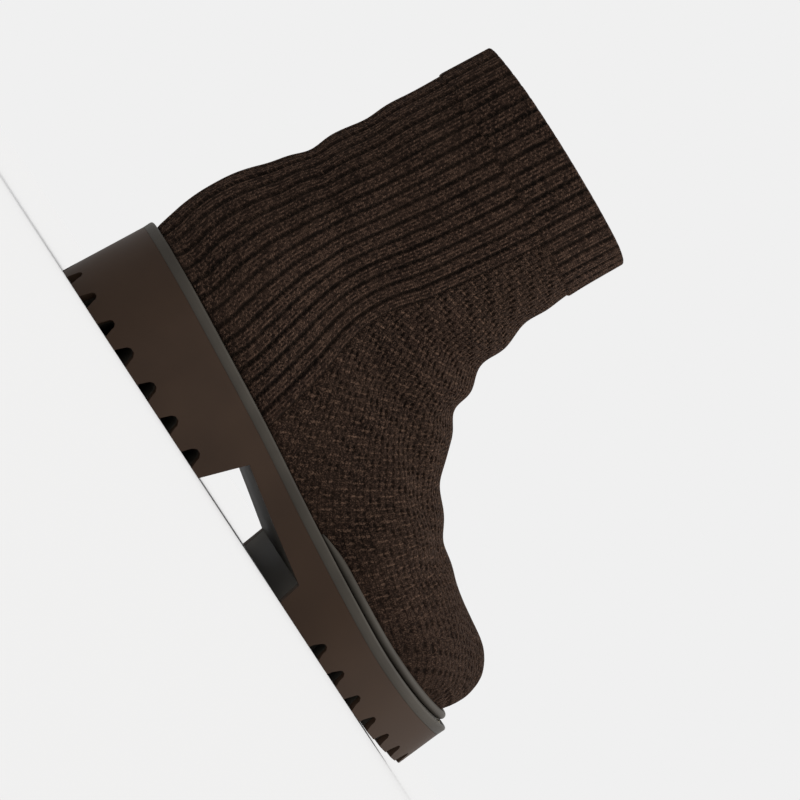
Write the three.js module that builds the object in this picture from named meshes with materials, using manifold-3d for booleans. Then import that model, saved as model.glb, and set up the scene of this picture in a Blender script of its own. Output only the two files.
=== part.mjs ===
import * as THREE from 'three';
import { mergeVertices } from 'three/addons/utils/BufferGeometryUtils.js';
import Module from 'manifold-3d';

// Right slip-on ankle boot: a knitted sock upper on a lugged two-colour rubber sole.
// X runs from the heel to the toe, Y to the wearer's left (medial), Z up, the floor at Z 0.

// Driving sizes of the sole
const soleLength = 280;
const ballWidth = 102;
const waistWidth = 68;
const heelWidth = 74;
const heelStack = 44.5;
const ballStack = 26;
const toeStack = 31.5;
const toeSpring = 5.5;
const springStart = 215;
const heelBlockLength = 98;
const breastRun = 8;
const breastHeight = 21.5;
const waistPlateEnd = 162;
const waistPlateEndHeight = 11;
const heelFlare = 3.5;
const toeFlare = 1.5;
const sideFlare = 1;

// Tread and edge
const lugDepth = 6.5;
const treadBase = 2.5;
const waistPlate = 2.5;
const skirtWidth = 2;
const edgeNotchPitch = 15.5;
const edgeNotchCount = 8;
const edgeNotchMouth = 8;
const edgeNotchTop = 3.8;
const edgeNotchReach = 11;
const heelNotchPitch = 18;
const heelNotchCount = 4;
const heelNotchStart = 34;
const heelNotchMouth = 9;
const heelNotchTop = 5.5;
const heelNotchReach = 30;
const heelFanAngles = [-62, -38, -13, 13, 38, 62];
const heelFanMouth = 7;
const heelFanTop = 3.8;
const heelFanReach = 26;
const recessTaper = 0.5;
const hexagonSide = 8;
const centreRib = 4;

// Welt, stitch channel and bead
const rimHeight = 4.5;
const rimLip = 2.2;
const rimRound = 1;
const heelLedge = 3.5;
const toeLedge = 9.5;
const ledgeStart = 100;
const ledgeEnd = 190;
const channelDepth = 1;
const weltInside = 4;
const beadDiameter = 4;
const beadStart = 150;

// Upper and insole
const wall = 3;
const shaftHeight = 162;
const toeBoxHeight = 36;
const shaftWidth = 75;
const cuffHeight = 24;
const cuffStep = 1;
const insoleThickness = 4;
const insoleClearance = 2.5;

// Fits
const gap = 0.3;

// Samples per side of a loop
const sideSteps = 36;
const upperSideSteps = 22;

// Sole outline at the floor: half widths on both sides as shares of a named width
const outlineRows = [
  { along: 0.02, across: heelWidth, lateral: 0.26, medial: 0.26 },
  { along: 0.085, across: heelWidth, lateral: 0.455, medial: 0.455 },
  { along: 0.18, across: heelWidth, lateral: 0.5, medial: 0.5 },
  { along: 0.33, across: heelWidth, lateral: 0.495, medial: 0.465 },
  { along: 0.46, across: waistWidth, lateral: 0.545, medial: 0.455 },
  { along: 0.57, across: ballWidth, lateral: 0.43, medial: 0.37 },
  { along: 0.67, across: ballWidth, lateral: 0.495, medial: 0.465 },
  { along: 0.76, across: ballWidth, lateral: 0.475, medial: 0.505 },
  { along: 0.85, across: ballWidth, lateral: 0.4, medial: 0.465 },
  { along: 0.93, across: ballWidth, lateral: 0.25, medial: 0.37 },
  { along: 0.98, across: ballWidth, lateral: 0.09, medial: 0.24 },
];
const toeTipShift = 0.075 * ballWidth;

// Top of the welt along the sole: what is left of the drop from heel to ball, and the rise to the toe
const stackRows = [
  { along: 0, heel: 1, toe: 0 },
  { along: 0.18, heel: 0.79, toe: 0 },
  { along: 0.35, heel: 0.58, toe: 0 },
  { along: 0.54, heel: 0.26, toe: 0 },
  { along: 0.68, heel: 0.06, toe: 0 },
  { along: 0.77, heel: 0, toe: 0.02 },
  { along: 0.875, heel: 0, toe: 0.25 },
  { along: 1, heel: 0, toe: 1 },
];

// Slanted sections of the upper. Back and front points: along is a share of the sole length,
// backUp of the shaft height over the heel's welt, toeUp of the toe box height over the toe's welt.
// Half widths at five places of the section: shares of the base's own half width in the foot rows,
// and of half the shaft width in the shaft rows.
const widthPlaces = [0.12, 0.33, 0.5, 0.68, 0.88];
const footRows = [
  { back: 0.017, backUp: 0.047, front: 0.968, toeUp: 0.236, widths: [1.035, 1.05, 1.05, 1.03, 1.02] },
  { back: 0.0115, backUp: 0.097, front: 0.967, toeUp: 0.486, widths: [1.05, 1.07, 1.08, 0.97, 0.927] },
  { back: 0.0093, backUp: 0.146, front: 0.951, toeUp: 0.736, widths: [1.04, 1.065, 1.08, 0.87, 0.75] },
  { back: 0.0115, backUp: 0.196, front: 0.914, toeUp: 0.917, widths: [1.02, 1.05, 1.07, 0.78, 0.52] },
  { back: 0.0164, backUp: 0.246, front: 0.857, toeUp: 0.995, widths: [0.99, 1.02, 1.055, 0.73, 0.43] },
  { back: 0.0243, backUp: 0.296, front: 0.793, toeUp: 1.055, widths: [0.95, 0.985, 1.035, 0.705, 0.5] },
  { back: 0.0329, backUp: 0.346, front: 0.725, toeUp: 1.19, widths: [0.905, 0.968, 1.02, 0.68, 0.555] },
  { back: 0.0411, backUp: 0.399, front: 0.657, toeUp: 1.42, widths: [0.865, 0.95, 1.02, 0.68, 0.59] },
];
const shaftRows = [
  { back: 0.0479, backUp: 0.455, front: 0.596, frontUp: 0.305, widths: [0.707, 0.787, 0.773, 0.733, 0.56] },
  { back: 0.0521, backUp: 0.517, front: 0.543, frontUp: 0.393, widths: [0.667, 0.787, 0.8, 0.747, 0.547] },
  { back: 0.055, backUp: 0.586, front: 0.507, frontUp: 0.493, widths: [0.645, 0.805, 0.84, 0.773, 0.56] },
  { back: 0.0579, backUp: 0.664, front: 0.486, frontUp: 0.605, widths: [0.64, 0.84, 0.88, 0.813, 0.587] },
  { back: 0.0621, backUp: 0.757, front: 0.475, frontUp: 0.725, widths: [0.65, 0.88, 0.92, 0.86, 0.625] },
  { back: 0.0679, backUp: 0.869, front: 0.471, frontUp: 0.85, widths: [0.667, 0.92, 0.96, 0.905, 0.66] },
  { back: 0.075, backUp: 1, front: 0.475, frontUp: 1, widths: [0.693, 0.96, 1, 0.945, 0.69] },
];

const wasm = await Module();
wasm.setup();

// Smooth value of a table's column at a place, by cubic Hermite pieces
function tableValue(rows, column, place) {
  const last = rows.length - 1;
  const at = THREE.MathUtils.clamp(place, rows[0].along, rows[last].along);
  let k = 0;
  while (k < last - 1 && at > rows[k + 1].along) k += 1;
  const slope = (a, b) => (rows[b][column] - rows[a][column]) / (rows[b].along - rows[a].along);
  const slopeAt = (j) => slope(Math.max(j - 1, 0), Math.min(j + 1, last));
  const span = rows[k + 1].along - rows[k].along;
  const t = (at - rows[k].along) / span;
  const h = [2 * t ** 3 - 3 * t * t + 1, t ** 3 - 2 * t * t + t, 3 * t * t - 2 * t ** 3, t ** 3 - t * t];
  return h[0] * rows[k][column] + h[1] * span * slopeAt(k)
    + h[2] * rows[k + 1][column] + h[3] * span * slopeAt(k + 1);
}

function weltTop(x) {
  const place = x / soleLength;
  return ballStack + (heelStack - ballStack) * tableValue(stackRows, 'heel', place)
    + (toeStack - ballStack) * tableValue(stackRows, 'toe', place);
}

function smoothStep(from, to, x) {
  return THREE.MathUtils.smoothstep(x, from, to);
}

function ledgeWidth(x) {
  return THREE.MathUtils.lerp(heelLedge, toeLedge, smoothStep(ledgeStart, ledgeEnd, x));
}

// A closed loop has its heel point first, then the lateral side, the toe point and the medial side
function resampleSide(points, steps) {
  const reach = [0];
  for (let i = 1; i < points.length; i += 1) reach.push(reach[i - 1] + points[i].distanceTo(points[i - 1]));
  const samples = [];
  let k = 0;
  for (let i = 0; i <= steps; i += 1) {
    const at = (reach[reach.length - 1] * i) / steps;
    while (k < points.length - 2 && reach[k + 1] < at) k += 1;
    const t = (at - reach[k]) / (reach[k + 1] - reach[k]);
    samples.push(points[k].clone().lerp(points[k + 1], t));
  }
  return samples;
}

function smoothLoop(controls, steps) {
  const curve = new THREE.CatmullRomCurve3(controls, true, 'centripetal');
  const perControl = 16;
  const dense = curve.getPoints(controls.length * perControl);
  const front = (controls.length / 2) * perControl;
  const lateral = resampleSide(dense.slice(0, front + 1), steps);
  const medial = resampleSide(dense.slice(front), steps);
  return [...lateral, ...medial.slice(1, steps)];
}

function outlineControls() {
  const lateral = outlineRows.map((r) => new THREE.Vector3(r.along * soleLength, -r.lateral * r.across, 0));
  const medial = outlineRows.map((r) => new THREE.Vector3(r.along * soleLength, r.medial * r.across, 0));
  const heel = new THREE.Vector3(0, 0, 0);
  const toe = new THREE.Vector3(soleLength, toeTipShift, 0);
  return [heel, ...lateral, toe, ...medial.reverse()];
}

function outwardAt(loop, i) {
  const next = loop[(i + 1) % loop.length];
  const previous = loop[(i + loop.length - 1) % loop.length];
  return new THREE.Vector3(next.y - previous.y, previous.x - next.x, 0).normalize();
}

function insetLoop(loop, width) {
  return loop.map((p, i) => {
    const outward = outwardAt(loop, i);
    return p.clone().addScaledVector(outward, -width(p, outward));
  });
}

function flare(outward) {
  const back = Math.max(-outward.x, 0) ** 2;
  const toe = Math.max(outward.x, 0) ** 2;
  return sideFlare + (heelFlare - sideFlare) * back + (toeFlare - sideFlare) * toe;
}

const floorOutline = smoothLoop(outlineControls(), sideSteps);
const weltOutline = insetLoop(floorOutline, (p, outward) => flare(outward));

function heightLoop(loop, height) {
  return loop.map((p) => new THREE.Vector3(p.x, p.y, height(p)));
}

// Half width of the welt's outline and its middle line at a place along the sole
function outlineAt(x) {
  const steps = weltOutline.length / 2;
  const edge = (side) => {
    let k = 0;
    while (k < side.length - 2 && side[k + 1].x < x) k += 1;
    const t = THREE.MathUtils.clamp((x - side[k].x) / (side[k + 1].x - side[k].x), 0, 1);
    return THREE.MathUtils.lerp(side[k].y, side[k + 1].y, t);
  };
  const lateral = edge(weltOutline.slice(0, steps + 1));
  const medial = edge([weltOutline[0], ...weltOutline.slice(steps).reverse()]);
  return { half: (medial - lateral) / 2, middle: (medial + lateral) / 2 };
}

// Solids from loops
function closedGeometry(points, faces) {
  const volume = faces.reduce((sum, [a, b, c]) => {
    const cross = new THREE.Vector3().crossVectors(points[b], points[c]);
    return sum + points[a].dot(cross);
  }, 0);
  const ordered = volume < 0 ? faces.map(([a, b, c]) => [a, c, b]) : faces;
  const geometry = new THREE.BufferGeometry();
  geometry.setAttribute('position', new THREE.Float32BufferAttribute(points.flatMap((p) => p.toArray()), 3));
  geometry.setIndex(ordered.flat());
  return geometry;
}

function bandFaces(rings, count, closed) {
  const faces = [];
  const bands = closed ? rings : rings - 1;
  for (let r = 0; r < bands; r += 1) {
    const lower = r * count;
    const upper = ((r + 1) % rings) * count;
    for (let i = 0; i < count; i += 1) {
      const j = (i + 1) % count;
      faces.push([lower + i, lower + j, upper + j], [lower + i, upper + j, upper + i]);
    }
  }
  return faces;
}

// A flat cap in strips from the lateral to the medial side, from the heel to the toe
function capFaces(start, count, flip) {
  const half = count / 2;
  const faces = [[0, 1, count - 1], [half - 1, half, half + 1]];
  for (let i = 1; i < half - 1; i += 1) {
    faces.push([i, i + 1, count - i - 1], [i, count - i - 1, count - i]);
  }
  const placed = faces.map((face) => face.map((i) => start + i));
  return flip ? placed.map(([a, b, c]) => [a, c, b]) : placed;
}

function loftSolid(rings) {
  const count = rings[0].length;
  const faces = bandFaces(rings.length, count, false);
  faces.push(...capFaces(0, count, true), ...capFaces((rings.length - 1) * count, count, false));
  return closedGeometry(rings.flat(), faces);
}

function ringSolid(rings) {
  return closedGeometry(rings.flat(), bandFaces(rings.length, rings[0].length, true));
}

// Booleans
function toSolid(geometry) {
  const bare = geometry.clone();
  bare.deleteAttribute('normal');
  bare.deleteAttribute('uv');
  const merged = mergeVertices(bare, 1e-4);
  return new wasm.Manifold(new wasm.Mesh({
    numProp: 3,
    vertProperties: new Float32Array(merged.attributes.position.array),
    triVerts: new Uint32Array(merged.index.array),
  }));
}

function toGeometry(solid) {
  const mesh = solid.getMesh();
  const geometry = new THREE.BufferGeometry();
  geometry.setAttribute('position', new THREE.BufferAttribute(new Float32Array(mesh.vertProperties), 3));
  geometry.setIndex(new THREE.BufferAttribute(new Uint32Array(mesh.triVerts), 1));
  return geometry;
}

// Side-view profile, extruded across the whole width
function profileSolid(profile) {
  const across = 2 * ballWidth;
  const shape = new THREE.Shape(profile.map(([x, z]) => new THREE.Vector2(x, z)));
  const geometry = new THREE.ExtrudeGeometry(shape, { depth: across, bevelEnabled: false });
  geometry.rotateX(Math.PI / 2);
  geometry.translate(0, across / 2, 0);
  return toSolid(geometry);
}

// Underside of the sole in side view
const breastTop = heelBlockLength + breastRun;
const below = -3;
const springSteps = 6;

function springHeight(x) {
  return toeSpring * (Math.max(x - springStart, 0) / (soleLength - springStart)) ** 2;
}

function springProfile(lift) {
  const points = [];
  for (let i = 0; i <= springSteps; i += 1) {
    const x = springStart + ((soleLength + heelFlare - springStart) * i) / springSteps;
    points.push([x, springHeight(x) + lift]);
  }
  return points;
}

const underside = [
  [below, 0],
  [heelBlockLength, 0],
  [breastTop, breastHeight],
  [waistPlateEnd, waistPlateEndHeight],
  [waistPlateEnd + lugDepth / 4, 0],
  ...springProfile(0),
];

function treadTop(lift) {
  const deep = lugDepth + treadBase + lift;
  return [
    [below, deep],
    [heelBlockLength - waistPlate - lift, deep],
    [breastTop - waistPlate - lift, breastHeight + waistPlate + lift],
    [breastTop, breastHeight + waistPlate + lift],
    [waistPlateEnd, waistPlateEndHeight + waistPlate + lift],
    [waistPlateEnd + lugDepth, deep],
    ...springProfile(deep),
  ];
}

// Cutters of the tread, each standing across the edge of the sole and narrowing inwards
function edgeCutter(at, outward, mouth, top, reach, rise) {
  const tangent = new THREE.Vector3(-outward.y, outward.x, 0);
  const depth = lugDepth + rise;
  const shape = new THREE.Shape([
    new THREE.Vector2(-mouth / 2, below),
    new THREE.Vector2(mouth / 2, below),
    new THREE.Vector2(mouth / 2, rise),
    new THREE.Vector2(top / 2, depth),
    new THREE.Vector2(-top / 2, depth),
    new THREE.Vector2(-mouth / 2, rise),
  ]);
  const outside = mouth;
  const geometry = new THREE.ExtrudeGeometry(shape, { depth: reach + outside, bevelEnabled: false });
  const corners = geometry.attributes.position;
  for (let i = 0; i < corners.count; i += 1) {
    const share = THREE.MathUtils.lerp(recessTaper, 1, corners.getZ(i) / reach);
    corners.setX(i, corners.getX(i) * share);
  }
  const frame = new THREE.Matrix4().makeBasis(tangent, new THREE.Vector3(0, 0, 1), outward);
  frame.setPosition(at.x - outward.x * reach, at.y - outward.y * reach, 0);
  geometry.applyMatrix4(frame);
  return toSolid(geometry);
}

function planCutter(points, ceiling) {
  const shape = new THREE.Shape(points.map(([x, y]) => new THREE.Vector2(x, y)));
  const geometry = new THREE.ExtrudeGeometry(shape, { depth: ceiling - below, bevelEnabled: false });
  geometry.translate(0, 0, below);
  return toSolid(geometry);
}

function walkFrom(loop, start, step, distance) {
  let left = distance;
  let i = start;
  while (true) {
    const next = (i + step + loop.length) % loop.length;
    const stretch = loop[next].distanceTo(loop[i]);
    if (stretch >= left) return { point: loop[i].clone().lerp(loop[next], left / stretch), index: i };
    left -= stretch;
    i = next;
  }
}

function edgeNotches() {
  const cutters = [];
  for (const side of [-1, 1]) {
    for (let k = 0; k < edgeNotchCount; k += 1) {
      const spot = walkFrom(floorOutline, sideSteps, side, edgeNotchPitch * (k + 0.5));
      const outward = outwardAt(floorOutline, spot.index);
      const rise = springHeight(spot.point.x);
      cutters.push(edgeCutter(spot.point, outward, edgeNotchMouth, edgeNotchTop, edgeNotchReach, rise));
    }
  }
  return cutters;
}

function heelNotches() {
  const cutters = [];
  for (const side of [-1, 1]) {
    for (let k = 0; k < heelNotchCount; k += 1) {
      const x = heelNotchStart + k * heelNotchPitch;
      const at = new THREE.Vector3(x, side * (outlineAt(x).half + sideFlare) + outlineAt(x).middle, 0);
      const outward = new THREE.Vector3(0, side, 0);
      cutters.push(edgeCutter(at, outward, heelNotchMouth, heelNotchTop, heelNotchReach, 0));
    }
  }
  return cutters;
}

// Radial recesses round the back of the heel, with thin fins between them that meet near its middle
function heelFan() {
  const centre = heelWidth / 2;
  return heelFanAngles.map((degrees) => {
    const angle = THREE.MathUtils.degToRad(degrees);
    const outward = new THREE.Vector3(-Math.cos(angle), Math.sin(angle), 0);
    const at = new THREE.Vector3(centre + outward.x * centre, outward.y * centre, 0);
    return edgeCutter(at, outward, heelFanMouth, heelFanTop, heelFanReach, 0);
  });
}

// Hexagons down the middle of the heel, where its recesses meet, and bent bars in two columns
// under the forefoot
function centreRecesses() {
  const cutters = [];
  for (let k = 0; k < heelNotchCount; k += 1) {
    const x = heelNotchStart + k * heelNotchPitch;
    const hexagon = [];
    for (let corner = 0; corner < 6; corner += 1) {
      const angle = (corner * Math.PI) / 3;
      hexagon.push([x + hexagonSide * Math.cos(angle), outlineAt(x).middle + hexagonSide * Math.sin(angle)]);
    }
    cutters.push(planCutter(hexagon, lugDepth));
  }
  for (let k = 0; k < edgeNotchCount - 2; k += 1) {
    const x = waistPlateEnd + edgeNotchPitch * (k + 0.75);
    const { half: reach, middle } = outlineAt(x);
    const inner = reach - edgeNotchReach - skirtWidth - edgeNotchTop;
    for (const side of [-1, 1]) {
      const bend = (share, shift) => [x + shift, middle + side * THREE.MathUtils.lerp(centreRib / 2, inner, share)];
      const front = [bend(0, edgeNotchMouth), bend(0.5, edgeNotchTop), bend(1, edgeNotchMouth)];
      const back = [bend(1, 0), bend(0.5, edgeNotchTop - edgeNotchMouth), bend(0, 0)];
      cutters.push(planCutter([...front, ...back], lugDepth + springHeight(x)));
    }
  }
  return cutters;
}

function joined(solids) {
  return solids.reduce((whole, next) => whole.add(next));
}

// The tread, waist plate and breast liner are one moulded piece
function outsoleGeometry(edgeCuts, centreCuts) {
  const edge = insetLoop(floorOutline, (p, outward) => flare(outward) + skirtWidth + gap);
  const block = toSolid(loftSolid([heightLoop(edge, () => below), heightLoop(edge, () => heelStack)]));
  const slab = profileSolid([...underside, ...treadTop(0).reverse()]);
  return toGeometry(block.intersect(slab).subtract(edgeCuts).subtract(centreCuts));
}

// Brown unit: flared wall, raised deck inside the welt and the pocket for the tread
function sidewallGeometry(edgeCuts) {
  const weltBottom = (p) => weltTop(p.x) - rimHeight - gap;
  const deckEdge = insetLoop(weltOutline, (p) => ledgeWidth(p.x) + wall + weltInside + gap);
  const body = toSolid(loftSolid([
    heightLoop(floorOutline, () => below),
    heightLoop(floorOutline, () => 0),
    heightLoop(weltOutline, weltBottom),
    heightLoop(deckEdge, weltBottom),
    heightLoop(deckEdge, (p) => weltTop(p.x)),
  ]));
  const pocketEdge = insetLoop(floorOutline, (p, outward) => flare(outward) + skirtWidth);
  const pocket = toSolid(loftSolid([
    heightLoop(pocketEdge, () => 2 * below),
    heightLoop(pocketEdge, () => heelStack),
  ]));
  const above = [...underside, [soleLength + heelFlare, 2 * heelStack], [below, 2 * heelStack]];
  const under = [[below, 2 * below], [soleLength + heelFlare, 2 * below], ...treadTop(gap).reverse()];
  const hollow = pocket.intersect(profileSolid(under));
  return toGeometry(body.intersect(profileSolid(above)).subtract(hollow).subtract(edgeCuts));
}

function weltGeometry() {
  const at = (inset, height) => heightLoop(insetLoop(weltOutline, inset), (p) => weltTop(p.x) + height);
  const share = (p) => smoothStep(ledgeStart, ledgeEnd, p.x);
  const channelInside = (p) => rimLip + gap + (ledgeWidth(p.x) - rimLip - beadDiameter - gap) * share(p);
  const floor = (inset) => heightLoop(insetLoop(weltOutline, inset), (p) => (
    weltTop(p.x) - gap / 2 - (channelDepth - gap / 2) * share(p)));
  const inside = (p) => ledgeWidth(p.x) + wall + weltInside;
  return ringSolid([
    at(() => 0, -rimHeight),
    at(() => 0, -rimRound),
    at(() => rimRound, 0),
    at(() => rimLip, 0),
    floor(() => rimLip + gap),
    floor((p) => channelInside(p) + gap),
    at((p) => channelInside(p) + 2 * gap, 0),
    at(inside, 0),
    at(inside, -rimHeight),
  ]);
}

// Bead that hugs the foot of the knit round the forefoot
function beadGeometry() {
  const radius = beadDiameter / 2;
  const line = insetLoop(weltOutline, (p) => ledgeWidth(p.x) - radius - 3 * gap);
  const path = line.filter((p) => p.x > beadStart);
  const corners = 8;
  const rings = path.map((p, i) => {
    const ahead = path[Math.min(i + 1, path.length - 1)];
    const behind = path[Math.max(i - 1, 0)];
    const outward = new THREE.Vector3(ahead.y - behind.y, behind.x - ahead.x, 0).normalize();
    const fade = i === 0 || i === path.length - 1 ? 0.5 : 1;
    const centre = new THREE.Vector3(p.x, p.y, weltTop(p.x) + gap + radius * fade);
    return Array.from({ length: corners }, (unused, c) => {
      const angle = (2 * Math.PI * (c + 0.5)) / corners;
      return centre.clone().addScaledVector(outward, radius * fade * Math.cos(angle))
        .add(new THREE.Vector3(0, 0, radius * fade * Math.sin(angle)));
    });
  });
  const faces = bandFaces(rings.length, corners, false);
  const end = (rings.length - 1) * corners;
  for (let c = 1; c < corners - 1; c += 1) faces.push([0, c + 1, c], [end, end + c, end + c + 1]);
  return closedGeometry(rings.flat(), faces);
}

// Outer surface of the upper: its base loop follows the welt, the slanted sections stand over it
function baseLoop() {
  const steps = upperSideSteps;
  const loop = insetLoop(weltOutline, (p) => ledgeWidth(p.x));
  const lateral = resampleSide(loop.slice(0, sideSteps + 1), steps);
  const medial = resampleSide([...loop.slice(sideSteps), loop[0]], steps);
  return heightLoop([...lateral, ...medial.slice(1, steps)], (p) => weltTop(p.x) + gap);
}

function sectionLoop(row, base) {
  const baseBack = base[0].x;
  const baseFront = base[upperSideSteps].x;
  const back = new THREE.Vector3(row.back * soleLength, 0, heelStack + row.backUp * shaftHeight);
  const frontUp = row.toeUp === undefined
    ? heelStack + row.frontUp * shaftHeight
    : toeStack + row.toeUp * toeBoxHeight;
  const front = new THREE.Vector3(row.front * soleLength, 0, frontUp);
  front.y = outlineAt(front.x).middle;
  const place = (side) => widthPlaces.map((share, k) => {
    const p = back.clone().lerp(front, share);
    const baseX = THREE.MathUtils.lerp(baseBack, baseFront, share);
    const baseHalf = outlineAt(baseX).half - ledgeWidth(baseX);
    const half = row.widths[k] * (row.toeUp === undefined ? shaftWidth / 2 : baseHalf);
    const fade = 1 - smoothStep(toeBoxHeight, toeBoxHeight * 3, p.z - weltTop(p.x));
    p.y = outlineAt(p.x).middle * fade + side * half;
    return p;
  });
  return smoothLoop([back, ...place(-1), front, ...place(1).reverse()], upperSideSteps);
}

const base = baseLoop();
const sections = [base, ...[...footRows, ...shaftRows].map((row) => sectionLoop(row, base))];

// A loop between sections, by cubic pieces through its neighbours
function levelLoop(level) {
  const last = sections.length - 1;
  const k = Math.min(Math.floor(level), last - 1);
  const t = level - k;
  const [a, b, c, d] = [k - 1, k, k + 1, k + 2].map((j) => sections[THREE.MathUtils.clamp(j, 0, last)]);
  return b.map((p, i) => {
    const curve = (axis) => {
      const [pa, pb, pc, pd] = [a[i][axis], b[i][axis], c[i][axis], d[i][axis]];
      return pb + 0.5 * t * (pc - pa + t * (2 * pa - 5 * pb + 4 * pc - pd + t * (3 * (pb - pc) + pd - pa)));
    };
    return new THREE.Vector3(curve('x'), curve('y'), curve('z'));
  });
}

function offsetLoop(level, distance) {
  const step = 0.05;
  const last = sections.length - 1;
  const loop = levelLoop(level);
  const lower = levelLoop(Math.max(level - step, 0));
  const upper = levelLoop(Math.min(level + step, last));
  return loop.map((p, i) => {
    const along = loop[(i + 1) % loop.length].clone().sub(loop[(i + loop.length - 1) % loop.length]);
    const up = upper[i].clone().sub(lower[i]);
    const outward = along.cross(up).normalize();
    if (level === 0) outward.setZ(0).normalize();
    return p.clone().addScaledVector(outward, distance);
  });
}

// Where the cuff begins, as a level between the last sections
function cuffLevel() {
  const start = 1 - cuffHeight / shaftHeight;
  const rows = shaftRows.map((row, k) => ({ up: row.backUp, level: footRows.length + 1 + k }));
  let k = 0;
  while (k < rows.length - 2 && rows[k + 1].up < start) k += 1;
  const t = (start - rows[k].up) / (rows[k + 1].up - rows[k].up);
  return rows[k].level + t;
}

function upperGeometry() {
  const last = sections.length - 1;
  const cuff = cuffLevel();
  const levels = [];
  for (let k = 0; k < last; k += 1) {
    levels.push(k);
    if (k > 0) levels.push(k + 0.5);
  }
  const plain = levels.filter((level) => level < cuff - 0.15);
  const raised = [cuff + 0.04, ...levels.filter((level) => level > cuff + 0.15), last];
  const outer = [...plain, cuff].map((level) => offsetLoop(level, 0));
  const cuffOuter = raised.map((level) => offsetLoop(level, cuffStep));
  const inner = [...plain, cuff, ...raised.slice(1)].map((level) => offsetLoop(level, -wall));
  const foot = inner[0].map((p) => new THREE.Vector3(p.x, p.y, weltTop(p.x) + gap));
  return ringSolid([...outer, ...cuffOuter, ...inner.slice(1).reverse(), foot]);
}

function insoleGeometry() {
  const edge = insetLoop(weltOutline, (p) => ledgeWidth(p.x) + wall + insoleClearance);
  return loftSolid([
    heightLoop(edge, (p) => weltTop(p.x) + gap),
    heightLoop(edge, (p) => weltTop(p.x) + gap + insoleThickness),
  ]);
}

// Materials
const knit = new THREE.MeshStandardMaterial({ color: 0x2d211b, roughness: 0.95, metalness: 0 });
const brownRubber = new THREE.MeshStandardMaterial({ color: 0x44342a, roughness: 0.6, metalness: 0 });
const oliveRubber = new THREE.MeshStandardMaterial({ color: 0x4c4a42, roughness: 0.65, metalness: 0 });
const lining = new THREE.MeshStandardMaterial({ color: 0x241c18, roughness: 0.9, metalness: 0 });

function named(name, geometry, material) {
  const mesh = new THREE.Mesh(geometry, material);
  mesh.name = name;
  return mesh;
}

const edgeCuts = joined([...edgeNotches(), ...heelNotches(), ...heelFan()]);
const boot = new THREE.Group();
boot.add(
  named('outsole', outsoleGeometry(edgeCuts, joined(centreRecesses())), oliveRubber),
  named('sidewall', sidewallGeometry(edgeCuts), brownRubber),
  named('welt', weltGeometry(), oliveRubber),
  named('rand_bead', beadGeometry(), oliveRubber),
  named('insole', insoleGeometry(), lining),
  named('upper', upperGeometry(), knit),
);

// The middle of the footprint is the origin
const box = new THREE.Box3().setFromObject(boot);
boot.position.set(-(box.min.x + box.max.x) / 2, -(box.min.y + box.max.y) / 2, -box.min.z);
boot.updateMatrixWorld(true);

export default boot;
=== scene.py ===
import math

import bpy
import numpy as np
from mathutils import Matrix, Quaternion, Vector


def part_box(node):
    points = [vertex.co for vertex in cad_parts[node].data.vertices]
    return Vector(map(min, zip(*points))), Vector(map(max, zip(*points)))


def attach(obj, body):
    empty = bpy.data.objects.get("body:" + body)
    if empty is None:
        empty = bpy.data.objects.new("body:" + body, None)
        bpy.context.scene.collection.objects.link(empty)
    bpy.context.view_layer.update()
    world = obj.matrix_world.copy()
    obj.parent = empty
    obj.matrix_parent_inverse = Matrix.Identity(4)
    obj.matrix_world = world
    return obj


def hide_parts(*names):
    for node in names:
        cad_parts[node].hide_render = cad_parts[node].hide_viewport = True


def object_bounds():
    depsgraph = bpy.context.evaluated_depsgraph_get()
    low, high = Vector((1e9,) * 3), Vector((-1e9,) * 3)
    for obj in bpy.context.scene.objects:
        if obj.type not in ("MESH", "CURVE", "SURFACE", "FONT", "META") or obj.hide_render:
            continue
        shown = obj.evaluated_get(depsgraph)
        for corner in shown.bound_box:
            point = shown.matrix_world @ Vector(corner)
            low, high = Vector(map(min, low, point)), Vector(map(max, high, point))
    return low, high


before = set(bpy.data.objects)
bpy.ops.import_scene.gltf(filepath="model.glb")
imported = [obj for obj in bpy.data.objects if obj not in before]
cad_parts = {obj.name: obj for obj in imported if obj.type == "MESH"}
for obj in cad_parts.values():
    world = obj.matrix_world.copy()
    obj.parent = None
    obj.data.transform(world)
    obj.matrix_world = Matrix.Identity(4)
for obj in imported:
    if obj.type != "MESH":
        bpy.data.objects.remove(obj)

cad_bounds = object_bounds()
MM = 0.001

# Sizes of the boot in millimetres, the same as the solids have. Angles are in degrees
SOLE_LENGTH = 280.0
BALL_WIDTH = 102.0
WAIST_WIDTH = 68.0
HEEL_WIDTH = 74.0
HEEL_STACK = 44.5
BALL_STACK = 26.0
TOE_STACK = 31.5
TOE_SPRING = 5.5
SPRING_START = 215.0
HEEL_BLOCK_LENGTH = 98.0
BREAST_RUN = 8.0
BREAST_HEIGHT = 21.5
WAIST_PLATE_END = 162.0
WAIST_PLATE_END_HEIGHT = 11.0
HEEL_FLARE = 3.5
TOE_FLARE = 1.5
SIDE_FLARE = 1.0
LUG_DEPTH = 6.5
TREAD_BASE = 2.5
WAIST_PLATE = 2.5
SKIRT_WIDTH = 2.0
EDGE_NOTCH_PITCH = 15.5
EDGE_NOTCH_COUNT = 8
EDGE_NOTCH_MOUTH = 8.0
EDGE_NOTCH_TOP = 3.8
EDGE_NOTCH_REACH = 11.0
HEEL_NOTCH_PITCH = 18.0
HEEL_NOTCH_COUNT = 4
HEEL_NOTCH_START = 34.0
HEEL_NOTCH_MOUTH = 9.0
HEEL_NOTCH_TOP = 5.5
HEEL_NOTCH_REACH = 30.0
HEEL_FAN_ANGLES = (-62, -38, -13, 13, 38, 62)
HEEL_FAN_MOUTH = 7.0
HEEL_FAN_TOP = 3.8
HEEL_FAN_REACH = 26.0
RECESS_TAPER = 0.5
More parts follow.
